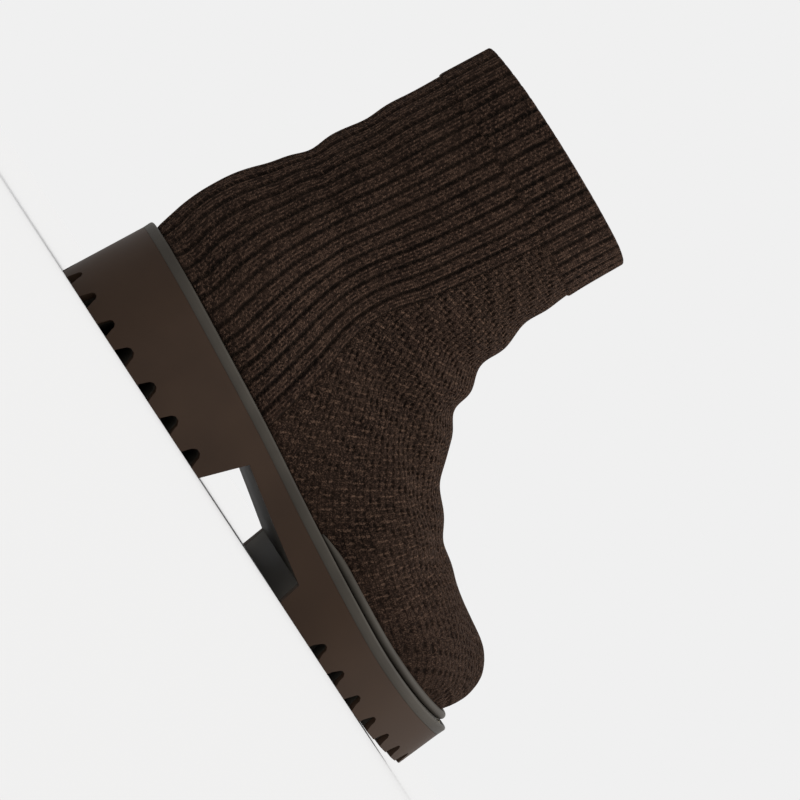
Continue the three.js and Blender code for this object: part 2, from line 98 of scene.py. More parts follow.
RECESS_ROUND = 0.28
HEXAGON_SIDE = 8.0
CENTRE_RIB = 4.0
RIM_HEIGHT = 4.5
RIM_LIP = 2.2
RIM_ROUND = 1.3
HEEL_LEDGE = 3.5
TOE_LEDGE = 9.5
LEDGE_START = 100.0
LEDGE_END = 190.0
CHANNEL_DEPTH = 1.0
CHANNEL_FADE = 22.0
CHANNEL_ROWS = (11, 14)
WELT_INSIDE = 4.0
BEAD_DIAMETER = 4.0
BEAD_START = 150.0
BEAD_TAPER = 20.0
BEAD_END_SHARE = 0.2
WALL = 3.0
SHAFT_HEIGHT = 162.0
TOE_BOX_HEIGHT = 36.0
SHAFT_WIDTH = 75.0
CUFF_HEIGHT = 24.0
CUFF_RISE = 0.9
CUFF_ROUND = 1.1
INSOLE_THICKNESS = 4.0
INSOLE_CLEARANCE = 2.5
INSOLE_ROUND = 1.6
INSOLE_CROWN = 7.0
TREAD_EDGE_ROUND = 0.35
SIDEWALL_EDGE_ROUND = 0.4
MOULD_CREASE = 38.0
CONTACT_HEIGHT = 0.4
GAP = 0.3

# Sizes of the knit in millimetres, or as shares of them. A level is counted in sections of the last
RIBS_PER_SIDE = 15
RIB_PITCH = 6.4
CUFF_RIBS_PER_SIDE = 22
RIB_RELIEF = 0.95
RIB_SHARE_AT_WELT = 0.25
WALE_DENT = 0.28
WALE_SHADE = 0.75
TUCK_WALE = 2.6
TUCK_COURSE = 5.2
TUCK_BLOCK = 2
FLOAT_START = 85.0
FLOAT_FULL = 115.0
TUCK_RELIEF = 0.8
TUCK_SHARE_AT_WELT = 0.3
KNIT_MEAN = 0.75
CUFF_LAP = 0.6
UNDER_CUFF_LEVEL = 0.25
GRIP_LEVEL = 0.35
SLOT_HALF_WIDTH = 0.3
SLOT_HALF_LENGTH = 0.4
CUFF_ROW_RUN = 1.1
LINING_ROW_RUN = 1.8
LINING_COLUMN_RUN = 1.25
FLOW_DEPTH = 28.0
STITCH_COURSE = 0.9
STITCH_SLANT = 0.55
YARN_WANDER = 6.2
YARN_DEPTH = 0.3
DYE_PATCH = 22.0

# A wool fibre is 0.03 mm thick, too fine to show, so strands and clumps of many fibres are drawn
FIBRE = 0.43
FIBRE_CLUMP = 0.75

# A mould's own grain is about 0.1 mm, too fine to show, so it is drawn coarser
MOULD_GRAIN = 0.5
SANDBLAST_GRAIN = 0.45
FLOW_MARK = 36.0

# Sizes of the welt's stitching in millimetres
WELT_STITCH_PITCH = 4.8
WELT_STITCH_LENGTH = 2.6
THREAD_DIAMETER = 0.8
THREAD_SHIFT = 0.3

# Along the sole, the named width it belongs to, and the half widths as shares of it
OUTLINE_ROWS = (
    (0.02, HEEL_WIDTH, 0.26, 0.26),
    (0.085, HEEL_WIDTH, 0.455, 0.455),
    (0.18, HEEL_WIDTH, 0.5, 0.5),
    (0.33, HEEL_WIDTH, 0.495, 0.465),
    (0.46, WAIST_WIDTH, 0.545, 0.455),
    (0.57, BALL_WIDTH, 0.43, 0.37),
    (0.67, BALL_WIDTH, 0.495, 0.465),
    (0.76, BALL_WIDTH, 0.475, 0.505),
    (0.85, BALL_WIDTH, 0.4, 0.465),
    (0.93, BALL_WIDTH, 0.25, 0.37),
    (0.98, BALL_WIDTH, 0.09, 0.24),
)
TOE_TIP_SHIFT = 0.075 * BALL_WIDTH

# Along the sole, what is left of the drop from heel to ball, and the rise to the toe
STACK_ROWS = (
    (0.0, 1.0, 0.0),
    (0.18, 0.79, 0.0),
    (0.35, 0.58, 0.0),
    (0.54, 0.26, 0.0),
    (0.68, 0.06, 0.0),
    (0.77, 0.0, 0.02),
    (0.875, 0.0, 0.25),
    (1.0, 0.0, 1.0),
)

# Slanted sections: back along, back up, front along, front up, half widths at WIDTH_PLACES
WIDTH_PLACES = (0.12, 0.33, 0.5, 0.68, 0.88)
FOOT_ROWS = (
    (0.017, 0.047, 0.968, 0.236, (1.035, 1.05, 1.05, 1.03, 1.02)),
    (0.0115, 0.097, 0.967, 0.486, (1.05, 1.07, 1.08, 0.97, 0.927)),
    (0.0093, 0.146, 0.951, 0.736, (1.04, 1.065, 1.08, 0.87, 0.75)),
    (0.0115, 0.196, 0.914, 0.917, (1.02, 1.05, 1.07, 0.78, 0.52)),
    (0.0164, 0.246, 0.857, 0.995, (0.99, 1.02, 1.055, 0.73, 0.43)),
    (0.0243, 0.296, 0.793, 1.055, (0.95, 0.985, 1.035, 0.705, 0.5)),
    (0.0329, 0.346, 0.725, 1.19, (0.905, 0.968, 1.02, 0.68, 0.555)),
    (0.0411, 0.399, 0.657, 1.42, (0.865, 0.95, 1.02, 0.68, 0.59)),
)
SHAFT_ROWS = (
    (0.0479, 0.455, 0.596, 0.305, (0.707, 0.787, 0.773, 0.733, 0.56)),
    (0.0521, 0.517, 0.543, 0.393, (0.667, 0.787, 0.8, 0.747, 0.547)),
    (0.055, 0.586, 0.507, 0.493, (0.645, 0.805, 0.84, 0.773, 0.56)),
    (0.0579, 0.664, 0.486, 0.605, (0.64, 0.84, 0.88, 0.813, 0.587)),
    (0.0621, 0.757, 0.475, 0.725, (0.65, 0.88, 0.92, 0.86, 0.625)),
    (0.0679, 0.869, 0.471, 0.85, (0.667, 0.92, 0.96, 0.905, 0.66)),
    (0.075, 1.0, 0.475, 1.0, (0.693, 0.96, 1.0, 0.945, 0.69)),
)

# Where the ribs end and the tuck knit begins: height over the welt, distance from the heel's back
ZONE_ROWS = ((0, 98), (30, 91), (53, 85), (70, 85), (88, 89), (107, 92), (145, 96), (170, 98))

# Soft creases in the side view: from x, z to x, z, half width, depth
CREASES = (
    (152, 112, 112, 86, 6.0, 1.5),
    (142, 132, 98, 112, 7.0, 1.7),
    (134, 158, 104, 142, 7.0, 1.0),
    (200, 78, 186, 40, 7.0, 1.0),
    (176, 92, 150, 52, 8.0, 1.0),
    (14, 118, 52, 104, 6.0, 0.9),
    (16, 146, 58, 134, 7.0, 0.7),
    (18, 96, 44, 84, 5.5, 0.7),
)

# The photo's view: the lateral side from a little behind, toe down to the right. Metres and degrees
VIEW_AZIMUTH = -21.0
VIEW_ROLL = 56.8
VIEW_DISTANCE = 1.9
VIEW_WIDTH = 0.352
VIEW_SHIFT = (-0.036, 0.0)
CAMERA_HEIGHT = 0.014
FLOOR_HALF = 9.0

# Samples along curves, and grids as rows by columns or by columns to a rib
SIDE_SAMPLES = 260
OUTLINE_SAMPLES = 150
CURVE_SAMPLES = 24
LEVEL_SAMPLES = 240
RIB_GRID = (130, 20)
TUCK_GRID = (400, 500)
CUFF_GRID = (26, 16)
LINING_GRID = (90, 240)
BEAD_CORNERS = 20
RIDGE_LEVEL = 3.4
RIDGE_BEYOND = 60.0
RIDGE_GRID = (400, 120)
FLOW_PARTS = 10


def linear(hex_colour):
    """sRGB hex colour to linear RGBA."""
    channels = [int(hex_colour[i:i + 2], 16) / 255 for i in (1, 3, 5)]
    return [c / 12.92 if c <= 0.04045 else ((c + 0.055) / 1.055) ** 2.4 for c in channels] + [1.0]


def new_object(name, data):
    thing = bpy.data.objects.new(name, data)
    bpy.context.scene.collection.objects.link(thing)
    return thing


# Camera: the heel's side seen from behind, rolled as the photo has it, just over the floor

def make_camera():
    data = bpy.data.cameras.new("camera")
    camera = new_object("camera", data)
    azimuth = math.radians(VIEW_AZIMUTH)
    target = (cad_bounds[0] + cad_bounds[1]) / 2
    back = Vector((math.sin(azimuth), -math.cos(azimuth), 0)) * VIEW_DISTANCE
    camera.location = Vector((target.x + back.x, target.y + back.y, CAMERA_HEIGHT))
    level = (camera.location - target).to_track_quat("Z", "Y")
    camera.rotation_mode = "QUATERNION"
    camera.rotation_quaternion = level @ Quaternion((0, 0, 1), math.radians(VIEW_ROLL))
    data.sensor_width = 36.0
    data.lens = data.sensor_width * VIEW_DISTANCE / VIEW_WIDTH
    data.shift_x, data.shift_y = VIEW_SHIFT
    data.clip_start = 0.01
    data.clip_end = 60.0
    bpy.context.scene.camera = camera


make_camera()


# Curves of the last and sole

def hermite(rows, column, places):
    along = np.array([row[0] for row in rows], float)
    value = np.array([row[column] for row in rows], float)
    slope = np.empty_like(value)
    slope[1:-1] = (value[2:] - value[:-2]) / (along[2:] - along[:-2])
    slope[0] = (value[1] - value[0]) / (along[1] - along[0])
    slope[-1] = (value[-1] - value[-2]) / (along[-1] - along[-2])
    at = np.clip(places, along[0], along[-1])
    k = np.clip(np.searchsorted(along, at) - 1, 0, len(along) - 2)
    span = along[k + 1] - along[k]
    t = (at - along[k]) / span
    return ((2 * t**3 - 3 * t**2 + 1) * value[k] + (t**3 - 2 * t**2 + t) * span * slope[k]
            + (3 * t**2 - 2 * t**3) * value[k + 1] + (t**3 - t**2) * span * slope[k + 1])


def welt_top(x):
    place = np.asarray(x) / SOLE_LENGTH
    return (BALL_STACK + (HEEL_STACK - BALL_STACK) * hermite(STACK_ROWS, 1, place)
            + (TOE_STACK - BALL_STACK) * hermite(STACK_ROWS, 2, place))


def smooth_step(low, high, x):
    t = np.clip((np.asarray(x) - low) / (high - low), 0, 1)
    return t * t * (3 - 2 * t)


def ledge_width(x):
    return HEEL_LEDGE + (TOE_LEDGE - HEEL_LEDGE) * smooth_step(LEDGE_START, LEDGE_END, x)


def spring_height(x):
    return TOE_SPRING * (np.maximum(np.asarray(x) - SPRING_START, 0) / (SOLE_LENGTH - SPRING_START)) ** 2


def path_lengths(points):
    return np.concatenate([[0], np.cumsum(np.linalg.norm(np.diff(points, axis=0), axis=1))])


def at_lengths(points, reach, at):
    return np.stack([np.interp(at, reach, points[:, axis]) for axis in range(3)], axis=1)


def resample(points, shares):
    """Points at shares of a path's own length."""
    reach = path_lengths(points)
    return at_lengths(points, reach, np.asarray(shares) * reach[-1])


def even_halves(loop, front, steps):
    """Closed loop with its points evenly spaced from the heel to the front and back again."""
    closed = np.concatenate([loop, loop[:1]])
    shares = np.linspace(0, 1, steps + 1)
    return np.concatenate([resample(closed[:front + 1], shares), resample(closed[front:], shares)[1:-1]])


def loop_sides(loop, front):
    """The lateral and the medial half of a loop, each from the heel to the front."""
    return loop[:front + 1], np.concatenate([loop[:1], loop[:front - 1:-1]])


def smooth_loop(controls, steps):
    """Closed centripetal curve, evenly spaced on each side. The front is the control half way round."""
    points = np.asarray(controls, float)
    t = (np.arange(CURVE_SAMPLES) / CURVE_SAMPLES)[:, None]
    pieces = []
    for i in range(len(points)):
        p0, p1, p2, p3 = (points[(i + k) % len(points)] for k in (-1, 0, 1, 2))
        d0, d1, d2 = (math.sqrt(np.linalg.norm(b - a)) for a, b in ((p0, p1), (p1, p2), (p2, p3)))
        m1 = ((p1 - p0) / d0 - (p2 - p0) / (d0 + d1) + (p2 - p1) / d1) * d1
        m2 = ((p2 - p1) / d1 - (p3 - p1) / (d1 + d2) + (p3 - p2) / d2) * d1
        pieces.append(p1 + m1 * t + (3 * p2 - 3 * p1 - 2 * m1 - m2) * t**2
                      + (2 * p1 - 2 * p2 + m1 + m2) * t**3)
    return even_halves(np.concatenate(pieces), len(points) // 2 * CURVE_SAMPLES, steps)


def outwards(loop):
    ahead = np.roll(loop, -1, axis=0) - np.roll(loop, 1, axis=0)
    outward = np.stack([ahead[:, 1], -ahead[:, 0], np.zeros(len(loop))], axis=1)
    return outward / np.linalg.norm(outward, axis=1)[:, None]


def inset(loop, width):
    return loop - outwards(loop) * np.broadcast_to(width, len(loop))[:, None]


def at_height(loop, height):
    return np.column_stack([loop[:, 0], loop[:, 1], np.broadcast_to(height, len(loop))])


def flare(loop):
    along = outwards(loop)[:, 0]
    back = np.maximum(-along, 0) ** 2
    toe = np.maximum(along, 0) ** 2
    return SIDE_FLARE + (HEEL_FLARE - SIDE_FLARE) * back + (TOE_FLARE - SIDE_FLARE) * toe


def outline_controls():
    lateral = [(along * SOLE_LENGTH, -low * width, 0) for along, width, low, high in OUTLINE_ROWS]
    medial = [(along * SOLE_LENGTH, high * width, 0) for along, width, low, high in OUTLINE_ROWS]
    return [(0, 0, 0), *lateral, (SOLE_LENGTH, TOE_TIP_SHIFT, 0), *reversed(medial)]


floor_outline = smooth_loop(outline_controls(), OUTLINE_SAMPLES)
welt_outline = inset(floor_outline, flare(floor_outline))


def outline_sides(x):
    """Lateral and medial edge of the welt's outline at places along the sole."""
    return [np.interp(x, side[:, 0], side[:, 1]) for side in loop_sides(welt_outline, OUTLINE_SAMPLES)]


def outline_half(x):
    lateral, medial = outline_sides(x)
    return (medial - lateral) / 2


def outline_middle(x):
    lateral, medial = outline_sides(x)
    return (medial + lateral) / 2


# The part's own zero: the frame has its origin in the middle of the footprint
frame_low, frame_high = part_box("sidewall")
OFFSET = np.array(frame_low + frame_high) / 2 / MM
OFFSET -= (floor_outline.min(axis=0) + floor_outline.max(axis=0)) / 2
OFFSET[2] = 0


def placed(points):
    """Millimetres in the boot's own frame to metres in the row's."""
    return (np.asarray(points, float) + OFFSET) * MM


# Meshes

def mesh_object(name, points, faces, uv=None, relief_and_shade=None, smooth=True):
    mesh = bpy.data.meshes.new(name)
    mesh.from_pydata(placed(points).tolist(), [], faces)
    if uv is not None:
        layer = mesh.uv_layers.new(name="knit_mm")
        corners = np.empty(len(mesh.loops), dtype=np.int32)
        mesh.loops.foreach_get("vertex_index", corners)
        layer.data.foreach_set("uv", np.asarray(uv, dtype=np.float32)[corners].ravel())
        # Relief of the knit, which the wool's shader also paints as shade in the furrows and slots
        height = mesh.attributes.new("knit_relief_and_shade", "FLOAT", "POINT")
        height.data.foreach_set("value", np.asarray(relief_and_shade, dtype=np.float32).ravel())
    if smooth:
        mesh.shade_smooth()
    mesh.update()
    return new_object(name, mesh)


def grid_faces(rows, columns, wrap_columns=False, wrap_rows=False):
    """Quads of a grid whose columns run anticlockwise and whose rows run up, facing outwards."""
    row = np.arange(rows if wrap_rows else rows - 1)[:, None]
    column = np.arange(columns if wrap_columns else columns - 1)[None, :]
    right = (column + 1) % columns
    above = (row + 1) % rows
    quads = np.stack([row * columns + column, row * columns + right,
                      above * columns + right, above * columns + column], axis=-1)
    return quads.reshape(-1, 4).tolist()


def cap_faces(start, count, up):
    """Strips across a closed loop, from the heel to the toe."""
    half = count // 2
    faces = [[0, 1, count - 1], [half - 1, half, half + 1]]
    faces += [[i, i + 1, count - i - 1, count - i] for i in range(1, half - 1)]
    faces = [[start + i for i in face] for face in faces]
    return faces if up else [face[::-1] for face in faces]


def loft(name, rings):
    """Closed solid through rings from the bottom to the top."""
    count = len(rings[0])
    faces = grid_faces(len(rings), count, wrap_columns=True)
    faces += cap_faces(0, count, False) + cap_faces((len(rings) - 1) * count, count, True)
    return mesh_object(name, np.concatenate(rings), faces)


def ring(name, rings, uv=None, relief_and_shade=None):
    """Closed ring whose section runs up outside and down inside."""
    faces = grid_faces(len(rings), len(rings[0]), True, True)
    return mesh_object(name, np.concatenate(rings), faces, uv, relief_and_shade)


def flat_sided(name, points):
    """Solid between two outlines of as many points, anticlockwise as seen from the second."""
    count = len(points) // 2
    faces = [[i, (i + 1) % count, count + (i + 1) % count, count + i] for i in range(count)]
    faces += [list(range(count))[::-1], [count + i for i in range(count)]]
    return mesh_object(name, points, faces, smooth=False)


def prism(name, outline, low, high):
    """Solid that stands on an anticlockwise outline of x and y."""
    return flat_sided(name, [(x, y, z) for z in (low, high) for x, y in outline])


def profile_block(name, profile):
    """Side-view profile of x and z, across the whole width."""
    area = sum(a[0] * b[1] - b[0] * a[1] for a, b in zip(profile, profile[1:] + profile[:1]))
    if area < 0:
        profile = profile[::-1]
    return flat_sided(name, [(x, side * BALL_WIDTH, z) for side in (1, -1) for x, z in profile])


def bake(piece):
    """Modifiers become the piece's own plain mesh."""
    depsgraph = bpy.context.evaluated_depsgraph_get()
    mesh = bpy.data.meshes.new_from_object(piece.evaluated_get(depsgraph))
    old = piece.data
    piece.modifiers.clear()
    piece.data = mesh
    mesh.name = piece.name
    bpy.data.meshes.remove(old)
    return piece


def modify(piece, kind, **settings):
    modifier = piece.modifiers.new(kind.lower(), kind)
    for key, value in settings.items():
        setattr(modifier, key, value)
    bake(piece)


def boolean(piece, tool, operation):
    modify(piece, "BOOLEAN", operation=operation, object=tool, solver="MANIFOLD")
    bpy.data.meshes.remove(tool.data)


def finish_edges(piece, width):
    """Moulded edges: a small round on each sharp edge, with the large faces left even."""
    angle = math.radians(MOULD_CREASE)
    modify(piece, "BEVEL", width=width * MM, segments=2, limit_method="ANGLE", angle_limit=angle,
           use_clamp_overlap=True)
    piece.data.shade_smooth()
    piece.data.set_sharp_from_angle(angle=angle)
    modify(piece, "WEIGHTED_NORMAL", keep_sharp=True)
    piece.data.materials.clear()


# Materials

def add_node(tree, kind, inputs=(), **settings):
    """Adds a node. Inputs are values, sockets, or nodes that feed it from their first output."""
    node = tree.nodes.new(kind)
    for key, value in settings.items():
        setattr(node, key, value)
    for key, value in inputs.items() if isinstance(inputs, dict) else enumerate(inputs):
        source = value.outputs[0] if isinstance(value, bpy.types.Node) else value
        if isinstance(source, bpy.types.NodeSocket):
            tree.links.new(source, node.inputs[key])
        else:
            node.inputs[key].default_value = source
    return node


def new_material(name):
    material = bpy.data.materials.new(name)
    material.use_nodes = True
    material.node_tree.nodes.clear()
    return material, material.node_tree


def layers(tree, colour, tints):
    """Mixes tints over a colour, each by its own share."""
    for share, tint in tints:
        colour = add_node(tree, "ShaderNodeMix", {"Factor": share, 6: colour, 7: linear(tint)},
                          data_type="RGBA").outputs[2]
    return colour


def stitches(tree, across, along, width):
    """V stitches as height, two slanting legs to a stitch, and a random number for each leg."""
    leg = add_node(tree, "ShaderNodeMath", [across, width / 2], operation="DIVIDE")
    course = add_node(tree, "ShaderNodeMath", [along, STITCH_COURSE], operation="DIVIDE")
    from_middle = add_node(tree, "ShaderNodeMath", [leg, 1.0], operation="PINGPONG")
    row = add_node(tree, "ShaderNodeMath", [from_middle, STITCH_SLANT, course], operation="MULTIPLY_ADD")
    turn = add_node(tree, "ShaderNodeMapRange", [from_middle, 0.0, 1.0, 0.22 * math.pi, math.pi])
    rise = add_node(tree, "ShaderNodeMath", [turn], operation="SINE")
    link = add_node(tree, "ShaderNodeMath", [row, 0.5], operation="PINGPONG")
    square = add_node(tree, "ShaderNodeMath", [rise, link], operation="MULTIPLY")
    height = add_node(tree, "ShaderNodeMath", [square], operation="SQRT")
    cell = [add_node(tree, "ShaderNodeMath", [place], operation="FLOOR") for place in (leg, row)]
    own = add_node(tree, "ShaderNodeTexWhiteNoise", [add_node(tree, "ShaderNodeCombineXYZ", cell)],
                   noise_dimensions="2D")
    return height, own


def floats(tree, across, along):
    """Yarn that lies across a block of wales between two courses, as a share. The toe has none."""
    block = add_node(tree, "ShaderNodeMath", [across, TUCK_BLOCK * TUCK_WALE], operation="DIVIDE")
    column = add_node(tree, "ShaderNodeMath", [block], operation="FLOOR")
    course = add_node(tree, "ShaderNodeMath", [along, TUCK_COURSE], operation="DIVIDE")
    course = add_node(tree, "ShaderNodeMath", [column, 0.5, course], operation="MULTIPLY_ADD")
    from_line = add_node(tree, "ShaderNodeMath", [course, 0.5], operation="PINGPONG")
    from_end = add_node(tree, "ShaderNodeMath", [block, 0.5], operation="PINGPONG")
    share = add_node(tree, "ShaderNodeMapRange", [from_line, 0.05, 0.13, 1.0, 0.0])
    for value in ([from_end, 0.02, 0.12, 0.0, 1.0], [along, FLOAT_START, FLOAT_FULL, 0.1, 1.0]):
        part = add_node(tree, "ShaderNodeMapRange", value)
        share = add_node(tree, "ShaderNodeMath", [share, part], operation="MULTIPLY")
    return share


def wool_knit(name, width, body, clumps, float_share):
    """Spun wool in V stitches, flecked on the crests. Painted shade makes it dark in the furrows, slots and
    stitch grooves, and the crests lighter. Clumps blur the stitches.
    """
    material, tree = new_material(name)
    relief_and_shade = add_node(tree, "ShaderNodeAttribute", attribute_name="knit_relief_and_shade").outputs["Fac"]
    uv = add_node(tree, "ShaderNodeUVMap", uv_map="knit_mm")
    position = add_node(tree, "ShaderNodeTexCoord").outputs["Object"]
    scales = {"wander": YARN_WANDER, "fibre": FIBRE, "fuzz": FIBRE_CLUMP, "patch": DYE_PATCH}
    noise = {key: add_node(tree, "ShaderNodeTexNoise", {"Vector": position, "Scale": 1 / (size * MM),
                                                        "Detail": 2.0, "Roughness": 0.7})
             for key, size in scales.items()}
    drift = add_node(tree, "ShaderNodeVectorMath", [noise["wander"].outputs["Color"], (0.7, 0.7, 0.0), uv],
                     operation="MULTIPLY_ADD")
    across, along = add_node(tree, "ShaderNodeSeparateXYZ", [drift]).outputs[:2]
    stitch, own = stitches(tree, across, along, width)
    crossing = floats(tree, across, along)
    clump = add_node(tree, "ShaderNodeMapRange", [noise["fuzz"], 0.38, 0.63, 0.0, 1.0])
    own = add_node(tree, "ShaderNodeMix", {0: clumps, 2: own, 3: clump})

    height = add_node(tree, "ShaderNodeMath", [stitch, 1.4, relief_and_shade], operation="MULTIPLY_ADD")
    height = add_node(tree, "ShaderNodeMath", [noise["fibre"], 1.2, height], operation="MULTIPLY_ADD")
    bump = add_node(tree, "ShaderNodeBump", {"Strength": 1.0, "Distance": YARN_DEPTH * MM, "Height": height})

    pale = add_node(tree, "ShaderNodeMapRange", [own, 0.3, 1.0, 0.0, 0.9])
    # Painted shade: the pale flecks fade out in the furrows and slots, by the relief attribute
    for value in ([noise["fibre"], 0.42, 0.6, 0.25, 1.0], [relief_and_shade, 0.0, 1.0, 0.3, 1.0]):
        share = add_node(tree, "ShaderNodeMapRange", value)
        pale = add_node(tree, "ShaderNodeMath", [pale, share], operation="MULTIPLY")
    broken = add_node(tree, "ShaderNodeMapRange", [noise["fuzz"], 0.4, 0.55, 0.0, float_share])
    crossing = add_node(tree, "ShaderNodeMath", [crossing, broken], operation="MULTIPLY")
    pale = add_node(tree, "ShaderNodeMath", [pale, crossing], operation="MAXIMUM")
    dull = add_node(tree, "ShaderNodeMapRange", [own, 0.4, 0.1, 0.0, 0.55])
    # Painted shade in the grooves between the legs of each stitch
    stitch_groove_shade = add_node(tree, "ShaderNodeMapRange", [stitch, 0.0, 0.55, 0.75, 0.0])
    patch = add_node(tree, "ShaderNodeMapRange", [noise["patch"], 0.35, 0.65, 0.0, 0.12])
    # Painted shade and highlight: the relief attribute mixes a near-black base in the furrows and slots up to
    # the body colour on the crests
    colour = layers(tree, linear("#0c0907"), ((relief_and_shade, body), (pale, "#6b5446"), (dull, "#120d0a"),
                                              (stitch_groove_shade, "#0a0706"), (patch, "#46362c")))
    surface = add_node(tree, "ShaderNodeBsdfPrincipled",
                       {"Base Color": colour, "Normal": bump, "Roughness": 0.95, "Specular IOR Level": 0.05,
                        "Sheen Weight": 0.08, "Sheen Roughness": 0.5, "Sheen Tint": linear("#8a6c5a")})
    add_node(tree, "ShaderNodeOutputMaterial", [surface])
    return material


def mottled(name, dark, light, cloud, grain, depth, rough, gloss):
    """Clouded colour from dark to light over a fine grain. Cloud, grain and depth are in millimetres."""
    material, tree = new_material(name)
    position = add_node(tree, "ShaderNodeTexCoord").outputs["Object"]
    broad, fine = (add_node(tree, "ShaderNodeTexNoise", {"Vector": position, "Scale": 1 / (size * MM),
                                                         "Detail": 3.0}) for size in (cloud, grain))
    share = add_node(tree, "ShaderNodeMapRange", [broad, 0.35, 0.66, 0.0, 1.0])
    worn = add_node(tree, "ShaderNodeMapRange", [broad, 0.3, 0.7, rough - 0.05, rough + 0.07])
    bump = add_node(tree, "ShaderNodeBump", {"Strength": 0.7, "Distance": depth * MM, "Height": fine})
    surface = add_node(tree, "ShaderNodeBsdfPrincipled",
                       {"Base Color": layers(tree, linear(dark), ((share, light),)), "Roughness": worn,
                        "Normal": bump, "Specular IOR Level": gloss})
    add_node(tree, "ShaderNodeOutputMaterial", [surface])
    return material


# Ribbed wool knit: three wales to a rib, each a column of V stitches that can be made out one by one
rib_wool = wool_knit("wool_rib_knit", RIB_PITCH / 4, "#2f221c", 0.0, 0.0)
# Wool tuck knit: the same yarn, matted between the slots, so that fibres hide most of the stitches
tuck_wool = wool_knit("wool_tuck_knit", TUCK_WALE / 2, "#1b120e", 0.7, 0.85)
# Brown rubber from a polished mould: even, satin, with a faint cloud of flow marks
brown_rubber = mottled("brown_moulded_rubber", "#30231a", "#36281e", FLOW_MARK, MOULD_GRAIN, 0.03, 0.55,
                       0.12)
# Olive-grey rubber of the welt and the tread's recesses, from the same kind of mould
olive_rubber = mottled("olive_moulded_rubber", "#37332e", "#423e38", FLOW_MARK, MOULD_GRAIN, 0.03, 0.55,
                       0.12)
# Olive rubber darkened on the floor of the stitched channel: painted shade in the narrow channel
channel_shade_rubber = mottled("olive_channel_painted_shade", "#1d1916", "#282420", 12.0, MOULD_GRAIN, 0.05, 0.8, 0.05)
# Contact faces of the tread, from a sandblasted mould: paler, matt and gritty
olive_grit = mottled("olive_sandblasted_rubber", "#3a372f", "#504d43", FLOW_MARK, SANDBLAST_GRAIN, 0.12, 0.75,
                     0.12)
# Felted wool: short matted fibres, no gloss
insole_felt = mottled("wool_felt_insole", "#241b16", "#3a2c24", 0.8, 0.6, 0.25, 0.9, 0.05)
# Waxed linen thread: dark, twisted too finely to show, so only its mottling does, with pale patches that are
# painted highlights on the twist
highlit_waxed_thread = mottled("waxed_linen_thread_painted_highlights", "#39342b", "#938b7c", 0.7, 0.5, 0.15, 0.7, 0.2)


# Upper: sections of the last

def base_loop():
    loop = even_halves(inset(welt_outline, ledge_width(welt_outline[:, 0])), OUTLINE_SAMPLES, SIDE_SAMPLES)
    return at_height(loop, welt_top(loop[:, 0]) + GAP)


def section_loop(row, base, foot):
    back_along, back_up, front_along, front_up, widths = row
    back = np.array([back_along * SOLE_LENGTH, 0, HEEL_STACK + back_up * SHAFT_HEIGHT])
    front_z = TOE_STACK + front_up * TOE_BOX_HEIGHT if foot else HEEL_STACK + front_up * SHAFT_HEIGHT
    front = np.array([front_along * SOLE_LENGTH, 0, front_z])
    front[1] = outline_middle(front[0])
    sides = {-1: [], 1: []}
    for share, width in zip(WIDTH_PLACES, widths):
        base_x = base[0][0] + (base[SIDE_SAMPLES][0] - base[0][0]) * share
        half = width * (outline_half(base_x) - ledge_width(base_x) if foot else SHAFT_WIDTH / 2)
        x, z = (back + (front - back) * share)[[0, 2]]
        fade = 1 - smooth_step(TOE_BOX_HEIGHT, TOE_BOX_HEIGHT * 3, z - welt_top(x))
        for side, points in sides.items():
            points.append((x, outline_middle(x) * fade + side * half, z))
    return smooth_loop([back, *sides[-1], front, *reversed(sides[1])], SIDE_SAMPLES)


def all_sections():
    base = base_loop()
    feet = [section_loop(row, base, True) for row in FOOT_ROWS]
    shafts = [section_loop(row, base, False) for row in SHAFT_ROWS]
    return np.array([base, *feet, *shafts])


sections = all_sections()
TOP_LEVEL = len(sections) - 1
CUFF_LEVEL = len(FOOT_ROWS) + 1 + np.interp(
    1 - CUFF_HEIGHT / SHAFT_HEIGHT, [row[1] for row in SHAFT_ROWS], np.arange(len(SHAFT_ROWS)))


def level_loop(level):
    k = min(int(level), TOP_LEVEL - 1)
    t = level - k
    a, b, c, d = (sections[min(max(j, 0), TOP_LEVEL)] for j in (k - 1, k, k + 1, k + 2))
    return b + 0.5 * t * (c - a + t * (2 * a - 5 * b + 4 * c - d + t * (3 * (b - c) + d - a)))


def zone_length(side):
    """Length from the back to where the ribs end, along one half section."""
    heights = side[:, 2] - welt_top(side[:, 0])
    border = hermite(ZONE_ROWS, 1, heights)
    past = int(np.argmax(side[:, 0] > border))
    reach = path_lengths(side)
    low, high = side[past - 1, 0] - border[past - 1], side[past, 0] - border[past]
    return reach[past - 1] + (reach[past] - reach[past - 1]) * (-low / (high - low)), reach


def zone_rows(levels, shares, front):
    """Grid of points: rows are levels, columns run anticlockwise over one zone."""
    rows = []
    for level in levels:
        row = np.empty((len(shares), 3))
        for sign, side in zip((-1, 1), loop_sides(level_loop(level), SIDE_SAMPLES)):
            border, reach = zone_length(side)
            if front:
                picked = shares <= 0 if sign == -1 else shares > 0
                at = reach[-1] - np.abs(shares[picked]) * (reach[-1] - border)
            else:
                picked = shares >= 0 if sign == -1 else shares < 0
                at = np.abs(shares[picked]) * border
            row[picked] = at_lengths(side, reach, at)
        rows.append(row)
    return np.array(rows)


def grid_normals(grid):
    across = np.gradient(grid, axis=1)
    up = np.gradient(grid, axis=0)
    normal = np.cross(across, up)
    return normal / np.linalg.norm(normal, axis=2)[..., None]


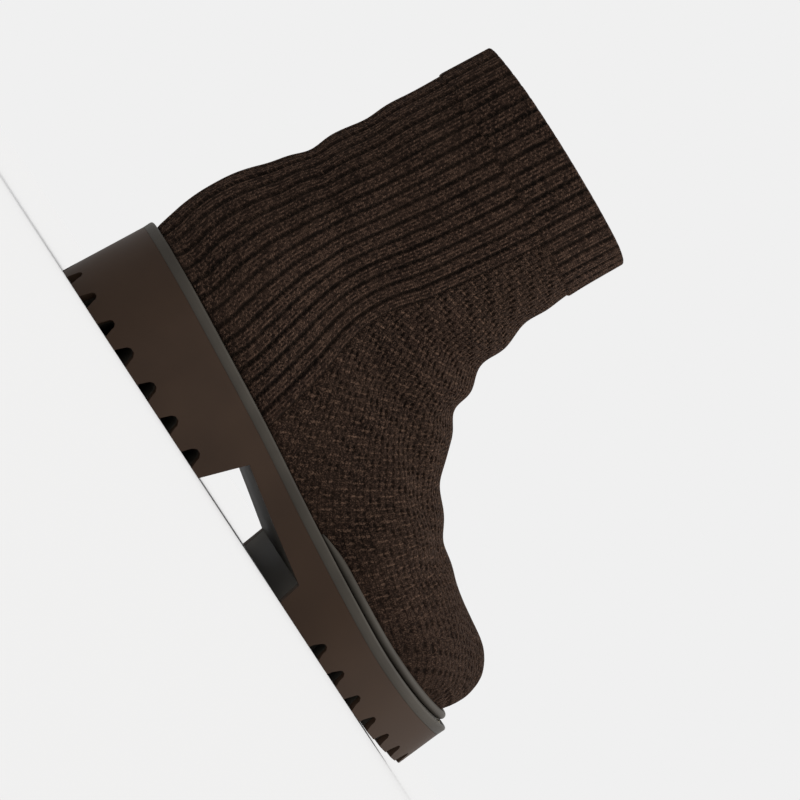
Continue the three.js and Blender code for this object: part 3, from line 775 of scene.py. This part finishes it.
def crease_depth(grid):
    """Listed troughs with a soft ridge on each side."""
    x, z = grid[..., 0], grid[..., 2]
    depth = np.zeros(x.shape)
    for x0, z0, x1, z1, width, deep in CREASES:
        length = math.dist((x0, z0), (x1, z1))
        ahead, rise = (x1 - x0) / length, (z1 - z0) / length
        run = (x - x0) * ahead + (z - z0) * rise
        off = (z - z0) * ahead - (x - x0) * rise + 0.12 * width * np.sin(run / width * 1.7)
        past_end = np.maximum(run - length, 0) ** 2 + np.maximum(-run, 0) ** 2
        shape = -np.exp(-(off / width) ** 2)
        for side, share in ((1, 0.6), (-1, 0.45)):
            shape += share * np.exp(-(off / width - side * 1.7) ** 2)
        depth += deep * shape * np.exp(-past_end / width ** 2)
    return depth


def slack(grid):
    """Uneven hand of the knit."""
    x, y, z = grid[..., 0], grid[..., 1], grid[..., 2]
    return (0.22 * np.sin(x / 9 + z / 14) * np.sin(z / 11 - y / 8 + 1.3)
            + 0.18 * np.sin(x / 17 - z / 7 + y / 6 + 0.7))


def grip(levels, share_at_welt):
    """Relief is flattened in the first millimetres, where the welt grips the knit."""
    return share_at_welt + (1 - share_at_welt) * smooth_step(0, GRIP_LEVEL, levels)[:, None]


def even_levels(count, low, high, front):
    """Levels that are evenly spaced along the front or the back line."""
    fine = np.linspace(low, high, LEVEL_SAMPLES)
    index = SIDE_SAMPLES if front else 0
    line = np.array([level_loop(level)[index] for level in fine])
    return np.interp(np.linspace(0, 1, count), path_lengths(line) / path_lengths(line)[-1], fine)


def broad_shape(grid, levels):
    """Creases and slack as heights over the last, sunk where the cuff lies over the shaft."""
    lap = smooth_step(CUFF_LEVEL - 0.02, CUFF_LEVEL + 0.12, levels)[:, None]
    return (crease_depth(grid) + slack(grid)) * grip(levels, 0) - CUFF_LAP * lap


def knit_skin(grid, height, uv, relief_and_shade):
    """The knit over the last, with a first row that turns in under its edge."""
    skin = grid + grid_normals(grid) * height[..., None]
    inner = skin[:1] - grid_normals(skin)[:1] * (WALL * 0.7)
    inner[..., 2] = skin[:1, :, 2]
    return [np.concatenate(rows) for rows in ((inner, skin), (uv[:1], uv), (relief_and_shade[:1], relief_and_shade))]


def wool_panel(name, grid, uv, relief_and_shade):
    return mesh_object(name, grid.reshape(-1, 3), grid_faces(*grid.shape[:2]), uv.reshape(-1, 2), relief_and_shade)


def rib_crest(ribs, dip):
    """Three wales and a furrow to a rib, as the share of its height. Dip is the dent between wales."""
    from_furrow = 2 - np.abs(np.mod(ribs, 1) - 0.5) * 4
    raised = smooth_step(0.2, 0.8, from_furrow)
    return raised * (1 - dip + dip * np.abs(np.cos(math.pi * from_furrow)))


def rib_panel():
    rows, per_rib = RIB_GRID
    shares = np.linspace(-1, 1, 2 * RIBS_PER_SIDE * per_rib + 1)
    levels = even_levels(rows, 0, CUFF_LEVEL + UNDER_CUFF_LEVEL, False)
    grid = zone_rows(levels, shares, False)
    ribs = np.abs(shares) * RIBS_PER_SIDE
    crest = rib_crest(ribs, WALE_DENT)
    depth = 1 + 0.2 * np.sin(np.floor(ribs + 0.5) * 2.4)
    run = np.cumsum(np.linalg.norm(np.diff(grid, axis=0, prepend=grid[:1]), axis=2), axis=0)
    rise = (crest - KNIT_MEAN) * depth * RIB_RELIEF
    height = rise[None, :] * grip(levels, RIB_SHARE_AT_WELT) + broad_shape(grid, levels)
    uv = np.stack(np.broadcast_arrays((shares * RIBS_PER_SIDE * RIB_PITCH)[None, :], run), axis=-1)
    # Painted shade: the colour dips deeper between wales than the mesh does, darkening the lines between them
    # and the furrows
    wale_shade_relief = np.broadcast_to(rib_crest(ribs, WALE_SHADE), run.shape)
    return wool_panel("upper_rib_panel", *knit_skin(grid, height, uv, wale_shade_relief))


def ridge_line():
    """Front line of the upper from beyond the toe to the collar, in the side view."""
    rows, rows_beyond = RIDGE_GRID
    levels = np.linspace(RIDGE_LEVEL, TOP_LEVEL, rows)
    line = np.array([level_loop(level)[SIDE_SAMPLES][[0, 2]] for level in levels])
    ahead = (line[0] - line[6]) / np.linalg.norm(line[0] - line[6])
    beyond = line[0] + ahead * np.linspace(RIDGE_BEYOND, 0.5, rows_beyond)[:, None]
    return np.concatenate([beyond, line])


def knit_flow(grid):
    """Distance along the instep and away from its ridge, for each point of the front of the upper.

    Lengths are true on a line half way down the side, so the knit is drawn out a little below it
    and drawn together a little above it.
    """
    ridge = ridge_line()
    tangent = np.gradient(ridge, axis=0)
    tangent /= np.linalg.norm(tangent, axis=1)[:, None]
    outward = np.column_stack([tangent[:, 1], -tangent[:, 0]])
    line = ridge - outward * FLOW_DEPTH
    reach = path_lengths(line)
    points = grid[..., [0, 2]].reshape(-1, 2)
    along = np.empty(len(points))
    away = np.empty(len(points))
    for part in np.array_split(np.arange(len(points)), FLOW_PARTS):
        near = np.argmin(((points[part, None, :] - line[None]) ** 2).sum(axis=2), axis=1)
        off = points[part] - line[near]
        along[part] = reach[near] + (off * tangent[near]).sum(axis=1)
        away[part] = (off * outward[near]).sum(axis=1) - FLOW_DEPTH
    along = along.reshape(grid.shape[:2])
    sideways = grid[..., 1] - outline_middle(grid[..., 0])
    around = np.sign(sideways) * np.sqrt(sideways ** 2 + away.reshape(grid.shape[:2]) ** 2)
    return along, around


def tuck_relief(along, around):
    """Staggered slots, uneven in depth, as the share of the knit's height: blocks behind the toe."""
    wale = around / TUCK_WALE
    block = np.where(along < FLOAT_START, 1, TUCK_BLOCK)
    course = along / TUCK_COURSE + 0.5 * np.floor(wale / block) + 0.5
    aside = (np.mod(wale, 1) - 0.5) / SLOT_HALF_WIDTH
    ahead = (np.mod(course, 1) - 0.5) / SLOT_HALF_LENGTH
    deep = 0.75 + 0.35 * np.sin(12.9 * np.floor(wale) + 78.2 * np.floor(course))
    return 1 - deep * (1 - smooth_step(0.05, 1.3, aside ** 2 + ahead ** 2))


def tuck_panels():
    rows, columns = TUCK_GRID
    shares = np.linspace(-1, 1, columns)
    levels = even_levels(rows, 0, CUFF_LEVEL + UNDER_CUFF_LEVEL, True)
    grid = zone_rows(levels, shares, True)
    along, around = knit_flow(grid)
    relief_and_shade = tuck_relief(along, around)
    rise = (relief_and_shade - KNIT_MEAN) * TUCK_RELIEF
    blend = smooth_step(0.0, 0.012, 1 - np.abs(shares))[None, :]
    at_border = -KNIT_MEAN * RIB_RELIEF * grip(levels, RIB_SHARE_AT_WELT)
    height = rise * grip(levels, TUCK_SHARE_AT_WELT) * blend + at_border * (1 - blend)
    height += broad_shape(grid, levels)
    # The slots' relief is also painted as shade in the wool's colour
    skin, uv, relief_and_shade = knit_skin(grid, height, np.stack([around, along], axis=-1), relief_and_shade)
    cuts = np.linspace(0, len(skin) - 1, 4).astype(int)
    names = ("upper_vamp_panel", "upper_instep_panel", "upper_shaft_panel")
    return [wool_panel(name, skin[low:high + 1], uv[low:high + 1], relief_and_shade[low:high + 1])
            for name, low, high in zip(names, cuts[:-1], cuts[1:])]


def even_loop(level, distance, count):
    """Evenly spaced points round a section, at a distance outside it."""
    step = 0.04
    loop = level_loop(level)
    up = level_loop(min(level + step, TOP_LEVEL)) - level_loop(max(level - step, 0))
    across = np.roll(loop, -1, axis=0) - np.roll(loop, 1, axis=0)
    normal = np.cross(across, up)
    if level == 0:
        normal[:, 2] = 0
    loop = loop + normal / np.linalg.norm(normal, axis=1)[:, None] * distance
    return resample(np.concatenate([loop, loop[:1]]), np.arange(count + 1) / count)[:-1]


def cuff_piece():
    """Turned-over ribbed hem at the collar, rounded at its edge."""
    count, per_rib = CUFF_GRID
    ribs = 2 * CUFF_RIBS_PER_SIDE
    columns = ribs * per_rib
    levels = np.linspace(CUFF_LEVEL - 0.03, TOP_LEVEL, count)
    step_up = smooth_step(0, 0.05, (levels - levels[0]) / (levels[-1] - levels[0]))
    shares = np.arange(columns) / columns
    wave = rib_crest(shares * ribs, WALE_DENT)
    rings = []

    def add(level, distance, relief_share, lift=0.0):
        skin = even_loop(level, distance, columns)
        core = even_loop(level, distance - 1.0, columns)
        points = skin + (skin - core) * (wave - KNIT_MEAN)[:, None] * RIB_RELIEF * relief_share
        points[:, 2] += lift
        rings.append(points)

    for level, up in zip(levels, step_up):
        add(level, -CUFF_LAP + (CUFF_RISE + CUFF_LAP) * up, 0.3 + 0.7 * up)
    middle = (CUFF_RISE - WALL) / 2
    half = (CUFF_RISE + WALL) / 2
    for turn in np.linspace(20, 160, 8):
        angle = math.radians(turn)
        add(TOP_LEVEL, middle + half * math.cos(angle), math.sin(angle) * 0.3 + 0.7,
            CUFF_ROUND * math.sin(angle))
    for level in levels[::-2]:
        add(level, -WALL, 0.7)
    rows = len(rings)
    run = np.repeat(np.arange(rows) * CUFF_ROW_RUN, columns)
    uv = np.column_stack([np.tile(shares * ribs * RIB_PITCH, rows), run])
    # Painted shade: the colour dips deeper between wales than the mesh does, darkening the lines between them
    # and the furrows
    wale_shade_relief = np.tile(rib_crest(shares * ribs, WALE_SHADE), rows)
    return ring("upper_cuff", rings, uv, wale_shade_relief)


def lining_piece():
    """Inside face of the knit, from the welt to under the cuff, with a thin edge at both ends."""
    count, columns = LINING_GRID
    levels = even_levels(count, 0, CUFF_LEVEL + 0.8 * UNDER_CUFF_LEVEL, False)
    outer = [even_loop(level, -WALL * 0.75, columns) for level in levels]
    inner = [even_loop(level, -WALL, columns) for level in levels]
    rings = outer + inner[::-1]
    rows = len(rings)
    around = np.tile(np.arange(columns) * LINING_COLUMN_RUN, rows)
    uv = np.column_stack([around, np.repeat(np.arange(rows) * LINING_ROW_RUN, columns)])
    return ring("upper_lining", rings, uv, np.full(len(uv), 0.6))


# Rubber unit

def spring_profile(lift):
    x = np.linspace(SPRING_START, SOLE_LENGTH + HEEL_FLARE, 13)
    return [(float(a), float(spring_height(a) + lift)) for a in x]


BELOW = -3.0
BREAST_TOP = HEEL_BLOCK_LENGTH + BREAST_RUN


def underside():
    return [(BELOW, 0), (HEEL_BLOCK_LENGTH, 0), (BREAST_TOP, BREAST_HEIGHT),
            (WAIST_PLATE_END, WAIST_PLATE_END_HEIGHT), (WAIST_PLATE_END + LUG_DEPTH / 4, 0),
            *spring_profile(0)]


def tread_top(lift):
    deep = LUG_DEPTH + TREAD_BASE + lift
    plate = WAIST_PLATE + lift
    return [(BELOW, deep), (HEEL_BLOCK_LENGTH - plate, deep), (BREAST_TOP - plate, BREAST_HEIGHT + plate),
            (BREAST_TOP, BREAST_HEIGHT + plate), (WAIST_PLATE_END, WAIST_PLATE_END_HEIGHT + plate),
            (WAIST_PLATE_END + LUG_DEPTH, deep), *spring_profile(deep)]


def edge_cutter(at, outward, mouth, top, reach, rise=0.0):
    """A recess that runs in from the sole's edge, narrowing inwards, and upwards to a rounded roof."""
    tangent = np.array([-outward[1], outward[0], 0])
    depth = LUG_DEPTH + rise
    round_off = top * RECESS_ROUND
    section = [(-mouth / 2, BELOW), (mouth / 2, BELOW), (mouth / 2, rise), (top / 2, depth - round_off),
               (top / 2 - round_off, depth), (-top / 2 + round_off, depth), (-top / 2, depth - round_off),
               (-mouth / 2, rise)]
    points = []
    for run in (-reach, mouth):
        share = RECESS_TAPER + (1 - RECESS_TAPER) * (run + reach) / reach
        for along, up in section:
            points.append(at + outward * run + tangent * (along * share) + np.array([0, 0, up]))
    return flat_sided("recess", points)


def joined(name, pieces):
    with bpy.context.temp_override(active_object=pieces[0], selected_editable_objects=pieces):
        bpy.ops.object.join()
    pieces[0].name = name
    return pieces[0]


def edge_notches():
    cutters = []
    outward = outwards(floor_outline)
    for side in (-1, 1):
        order = np.roll(np.arange(len(floor_outline)), -OUTLINE_SAMPLES)
        order = order if side > 0 else np.roll(order[::-1], 1)
        reach = path_lengths(floor_outline[order])
        spots = EDGE_NOTCH_PITCH * (np.arange(EDGE_NOTCH_COUNT) + 0.5)
        places = at_lengths(floor_outline[order], reach, spots)
        for at, away in zip(places, outward[order][np.searchsorted(reach, spots)]):
            cutters.append(edge_cutter(at, away, EDGE_NOTCH_MOUTH, EDGE_NOTCH_TOP, EDGE_NOTCH_REACH,
                                       float(spring_height(at[0]))))
    return cutters


def heel_notches():
    cutters = []
    for side in (-1, 1):
        for k in range(HEEL_NOTCH_COUNT):
            x = HEEL_NOTCH_START + k * HEEL_NOTCH_PITCH
            y = side * (outline_half(x) + SIDE_FLARE) + outline_middle(x)
            cutters.append(edge_cutter(np.array([x, float(y), 0]), np.array([0, side, 0]),
                                       HEEL_NOTCH_MOUTH, HEEL_NOTCH_TOP, HEEL_NOTCH_REACH))
    return cutters


def heel_fan():
    cutters = []
    centre = HEEL_WIDTH / 2
    for degrees in HEEL_FAN_ANGLES:
        angle = math.radians(degrees)
        outward = np.array([-math.cos(angle), math.sin(angle), 0])
        at = np.array([centre, 0, 0]) + outward * centre
        cutters.append(edge_cutter(at, outward, HEEL_FAN_MOUTH, HEEL_FAN_TOP, HEEL_FAN_REACH))
    return cutters


def edge_cuts():
    return joined("cuts", edge_notches() + heel_notches() + heel_fan())


def centre_recesses():
    """Hexagons where the heel's recesses meet, and bent bars in two columns under the forefoot."""
    cutters = []
    for k in range(HEEL_NOTCH_COUNT):
        x = HEEL_NOTCH_START + k * HEEL_NOTCH_PITCH
        middle = float(outline_middle(x))
        angles = np.arange(6) * math.pi / 3
        hexagon = [(x + HEXAGON_SIDE * math.cos(a), middle + HEXAGON_SIDE * math.sin(a)) for a in angles]
        cutters.append(prism("hexagon", hexagon, BELOW, LUG_DEPTH))
    elbow = EDGE_NOTCH_TOP - EDGE_NOTCH_MOUTH
    for k in range(EDGE_NOTCH_COUNT - 2):
        x = WAIST_PLATE_END + EDGE_NOTCH_PITCH * (k + 0.75)
        middle = float(outline_middle(x))
        inner = float(outline_half(x)) - EDGE_NOTCH_REACH - SKIRT_WIDTH - EDGE_NOTCH_TOP
        near, far = CENTRE_RIB / 2, inner
        across = np.array([near, (near + far) / 2, far, far, (near + far) / 2, near])
        ahead = np.array([EDGE_NOTCH_MOUTH, EDGE_NOTCH_TOP, EDGE_NOTCH_MOUTH, 0, elbow, 0])
        for side in (-1, 1):
            bar = list(zip(x + ahead, middle + side * across))[::side]
            cutters.append(prism("bar", bar, BELOW, LUG_DEPTH + float(spring_height(x))))
    return cutters


def outsole_piece():
    """Tread. The second material is for the faces that meet the floor."""
    edge = inset(floor_outline, flare(floor_outline) + SKIRT_WIDTH + GAP)
    piece = loft("outsole_tread", [at_height(edge, BELOW), at_height(edge, HEEL_STACK)])
    slab = profile_block("slab", underside() + tread_top(0)[::-1])
    boolean(piece, slab, "INTERSECT")
    boolean(piece, edge_cuts(), "DIFFERENCE")
    boolean(piece, joined("cuts", centre_recesses()), "DIFFERENCE")
    finish_edges(piece, TREAD_EDGE_ROUND)
    for face in piece.data.polygons:
        height = face.center.z / MM
        x = face.center.x / MM - OFFSET[0]
        if face.normal.z < -0.7 and height < spring_height(x) + CONTACT_HEIGHT:
            face.material_index = 1
    return piece


def sidewall_piece():
    welt_bottom = welt_top(welt_outline[:, 0]) - RIM_HEIGHT - GAP
    deck_edge = inset(welt_outline, ledge_width(welt_outline[:, 0]) + WALL + WELT_INSIDE + GAP)
    deck_bottom = welt_top(deck_edge[:, 0]) - RIM_HEIGHT - GAP
    middle = (floor_outline + welt_outline) / 2
    rings = [
        at_height(floor_outline, BELOW),
        at_height(floor_outline, 0),
        at_height(middle, welt_bottom / 2),
        at_height(welt_outline, welt_bottom),
        at_height(deck_edge, deck_bottom),
        at_height(deck_edge, welt_top(deck_edge[:, 0])),
    ]
    piece = loft("sidewall_unit", rings)
    high = 2 * HEEL_STACK
    end = SOLE_LENGTH + HEEL_FLARE
    boolean(piece, profile_block("above", underside() + [(end, high), (BELOW, high)]), "INTERSECT")
    pocket_edge = inset(floor_outline, flare(floor_outline) + SKIRT_WIDTH)
    pocket = loft("pocket", [at_height(pocket_edge, 2 * BELOW), at_height(pocket_edge, HEEL_STACK)])
    under = [(BELOW, 2 * BELOW), (end, 2 * BELOW)] + tread_top(GAP)[::-1]
    boolean(pocket, profile_block("under", under), "INTERSECT")
    boolean(piece, pocket, "DIFFERENCE")
    boolean(piece, edge_cuts(), "DIFFERENCE")
    finish_edges(piece, SIDEWALL_EDGE_ROUND)
    return piece


def channel_edge(x):
    """How far in from the rim the stitched channel reaches, and its share of the full depth."""
    share = smooth_step(LEDGE_START, LEDGE_END, x)
    return RIM_LIP + GAP + (ledge_width(x) - RIM_LIP - BEAD_DIAMETER - GAP) * share, share


def welt_piece():
    """Rim with its rounded edge. The second material, darker, paints shade on the floor of the stitched
    channel.
    """
    x = welt_outline[:, 0]
    channel, share = channel_edge(x)
    floor = -GAP / 2 - (CHANNEL_DEPTH - GAP / 2) * share
    inside = ledge_width(x) + WALL + WELT_INSIDE

    def at(width, height):
        loop = inset(welt_outline, width)
        return at_height(loop, welt_top(loop[:, 0]) + height)

    foot = -RIM_HEIGHT - 0.8 * GAP
    rings = [at(0.1, foot), at(0.0, foot + 0.1), at(0.0, -2 * RIM_ROUND)]
    for turn in np.linspace(0, 90, 6):
        angle = math.radians(turn)
        rings.append(at(RIM_ROUND * (1 - math.cos(angle)), -RIM_ROUND * (1 - math.sin(angle))))
    rings += [at(RIM_LIP - 0.25, 0.0), at(RIM_LIP, -0.12)]
    rings += [at(RIM_LIP + GAP, floor * 0.85), at(RIM_LIP + 2 * GAP, floor)]
    rings += [at(channel, floor), at(channel + GAP, floor * 0.85), at(channel + 2 * GAP, -0.08)]
    rings += [at(channel + 3 * GAP, 0.0), at(inside, 0.0), at(inside, foot)]
    piece = ring("welt_rim", rings)
    piece.data.set_sharp_from_angle(angle=math.radians(50))
    # The channel's floor takes the darker material: painted shade
    for face in piece.data.polygons:
        row, column = divmod(face.index, len(welt_outline))
        if CHANNEL_ROWS[0] <= row < CHANNEL_ROWS[1] and x[column] > LEDGE_START + CHANNEL_FADE:
            face.material_index = 1
    return piece


def bead_piece():
    radius = BEAD_DIAMETER / 2
    line = inset(welt_outline, ledge_width(welt_outline[:, 0]) - radius - 3 * GAP)
    along_toe = line[:, 0] > BEAD_START
    path = line[along_toe]
    outward = outwards(line)[along_toe]
    reach = path_lengths(path)
    from_end = np.minimum(reach, reach[-1] - reach)
    size = radius * (BEAD_END_SHARE + (1 - BEAD_END_SHARE) * np.sqrt(smooth_step(0, BEAD_TAPER, from_end)))
    centre = at_height(path, welt_top(path[:, 0]) + GAP + size)
    angle = 2 * math.pi * np.arange(BEAD_CORNERS)[:, None] / BEAD_CORNERS
    rings = [p + r * (n * np.cos(angle) + np.array([0, 0, 1.0]) * np.sin(angle))
             for p, n, r in zip(centre, outward, size)]
    first = list(range(BEAD_CORNERS))
    last = [(len(rings) - 1) * BEAD_CORNERS + i for i in first]
    faces = [face[::-1] for face in grid_faces(len(rings), BEAD_CORNERS, wrap_columns=True)]
    return mesh_object("welt_bead", np.concatenate(rings), faces + [first, last[::-1]])


def insole_piece():
    edge = inset(welt_outline, ledge_width(welt_outline[:, 0]) + WALL + INSOLE_CLEARANCE)
    bottom = welt_top(edge[:, 0]) + GAP
    crown = inset(edge, INSOLE_ROUND)
    flat = inset(edge, INSOLE_CROWN)
    rings = [
        at_height(edge, bottom),
        at_height(edge, bottom + INSOLE_THICKNESS * 0.7),
        at_height(crown, welt_top(crown[:, 0]) + GAP + INSOLE_THICKNESS),
        at_height(flat, welt_top(flat[:, 0]) + GAP + INSOLE_THICKNESS * 0.85),
    ]
    return loft("insole_felt_bed", rings)


# Stitches of the welt, laid along the channel by Geometry Nodes

def stitch_tree(material):
    """Bent threads along a line, with the pitch, length and diameter as inputs."""
    tree = bpy.data.node_groups.new("welt_stitches", "GeometryNodeTree")
    face = tree.interface
    face.new_socket("Geometry", in_out="INPUT", socket_type="NodeSocketGeometry")
    sizes = {"Stitch pitch": WELT_STITCH_PITCH, "Stitch length": WELT_STITCH_LENGTH,
             "Thread diameter": THREAD_DIAMETER}
    values = {face.new_socket(name, in_out="INPUT", socket_type="NodeSocketFloat").identifier: size * MM
              for name, size in sizes.items()}
    face.new_socket("Geometry", in_out="OUTPUT", socket_type="NodeSocketGeometry")
    line, pitch, length, thread = add_node(tree, "NodeGroupInput").outputs[:4]
    line = add_node(tree, "GeometryNodeMeshToCurve", {"Mesh": line})
    spots = add_node(tree, "GeometryNodeResampleCurve", {"Curve": line, "Length": pitch}, mode="LENGTH")
    shares = {"back": (length, -0.5), "front": (length, 0.5), "foot": (thread, -0.55), "crown": (thread, 0.9),
              "radius": (thread, 0.5)}
    at = {key: add_node(tree, "ShaderNodeMath", pair, operation="MULTIPLY") for key, pair in shares.items()}
    back, peak, front = (add_node(tree, "ShaderNodeCombineXYZ", point) for point in (
        {"X": at["back"], "Z": at["foot"]}, {"Z": at["crown"]}, {"X": at["front"], "Z": at["foot"]}))
    arc = add_node(tree, "GeometryNodeCurveQuadraticBezier",
                   {"Resolution": 5, "Start": back, "Middle": peak, "End": front})
    section = add_node(tree, "GeometryNodeCurvePrimitiveCircle", {"Resolution": 6, "Radius": at["radius"]})
    loop = add_node(tree, "GeometryNodeCurveToMesh",
                    {"Curve": arc, "Profile Curve": section, "Fill Caps": True})
    turn = add_node(tree, "FunctionNodeAlignRotationToVector",
                    {"Vector": add_node(tree, "GeometryNodeInputTangent")}, axis="X")
    spread = add_node(tree, "GeometryNodeInstanceOnPoints",
                      {"Points": spots, "Instance": loop, "Rotation": turn})
    real = add_node(tree, "GeometryNodeRealizeInstances", {"Geometry": spread})
    dyed = add_node(tree, "GeometryNodeSetMaterial", {"Geometry": real, "Material": material})
    add_node(tree, "NodeGroupOutput", [dyed])
    return tree, values


def stitch_piece():
    channel, _ = channel_edge(welt_outline[:, 0])
    line = inset(welt_outline, (RIM_LIP + GAP + channel) / 2 + THREAD_SHIFT)
    line = line[line[:, 0] > LEDGE_START + CHANNEL_FADE]
    path = at_height(line, welt_top(line[:, 0]) - CHANNEL_DEPTH + THREAD_DIAMETER * 0.45)
    mesh = bpy.data.meshes.new("welt_stitches")
    mesh.from_pydata(placed(path).tolist(), [(i, i + 1) for i in range(len(path) - 1)], [])
    piece = new_object("welt_stitches", mesh)
    tree, values = stitch_tree(highlit_waxed_thread)
    modifier = piece.modifiers.new("stitches", "NODES")
    modifier.node_group = tree
    for identifier, value in values.items():
        modifier[identifier] = value
    bake(piece)
    piece.data.shade_smooth()
    return piece


# Pieces, what they stand for and the finish they take

def settle(piece, node, slot, *materials):
    for material in materials:
        piece.data.materials.append(material)
    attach(piece, "root")
    if node:
        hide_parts(node)


settle(rib_panel(), "upper", "knit", rib_wool)
for panel in tuck_panels():
    settle(panel, "upper", "knit", tuck_wool)
settle(cuff_piece(), "upper", "knit", rib_wool)
settle(lining_piece(), "upper", "knit", rib_wool)
settle(outsole_piece(), "outsole", "olive_rubber", olive_rubber, olive_grit)
settle(sidewall_piece(), "sidewall", "brown_rubber", brown_rubber)
settle(welt_piece(), "welt", "olive_rubber", olive_rubber, channel_shade_rubber)
settle(bead_piece(), "rand_bead", "olive_rubber", olive_rubber)
settle(insole_piece(), "insole", "insole_felt", insole_felt)
settle(stitch_piece(), None, "knit")


# Floor and studio light

def floor_and_light():
    mesh = bpy.data.meshes.new("studio_floor")
    corners = ((-1, -1), (1, -1), (1, 1), (-1, 1))
    mesh.from_pydata([(x * FLOOR_HALF, y * FLOOR_HALF, 0) for x, y in corners], [], [[0, 1, 2, 3]])
    material, tree = new_material("pale_studio_floor")
    surface = add_node(tree, "ShaderNodeBsdfPrincipled",
                       {"Base Color": linear("#cecece"), "Roughness": 0.8, "Specular IOR Level": 0.0})
    add_node(tree, "ShaderNodeOutputMaterial", [surface])
    mesh.materials.append(material)
    new_object("studio_floor", mesh)

    world = bpy.data.worlds.new("studio")
    bpy.context.scene.world = world
    world.use_nodes = True
    background = world.node_tree.nodes["Background"]
    background.inputs["Color"].default_value = linear("#f0f0f0")
    background.inputs["Strength"].default_value = 1.0

    for name, towards, strength, spread, colour in (
            ("high_softbox", (0.75, -0.2, 1.0), 1.8, 50, "#ffffff"),
            ("toe_softbox", (1.0, -0.4, 0.3), 1.1, 40, "#fffaf4")):
        data = bpy.data.lights.new(name, "SUN")
        data.energy = strength
        data.angle = math.radians(spread)
        data.color = linear(colour)[:3]
        lamp = new_object(name, data)
        lamp.rotation_mode = "QUATERNION"
        lamp.rotation_quaternion = Vector(towards).to_track_quat("Z", "Y")
    bpy.context.scene.view_settings.view_transform = "Standard"


floor_and_light()
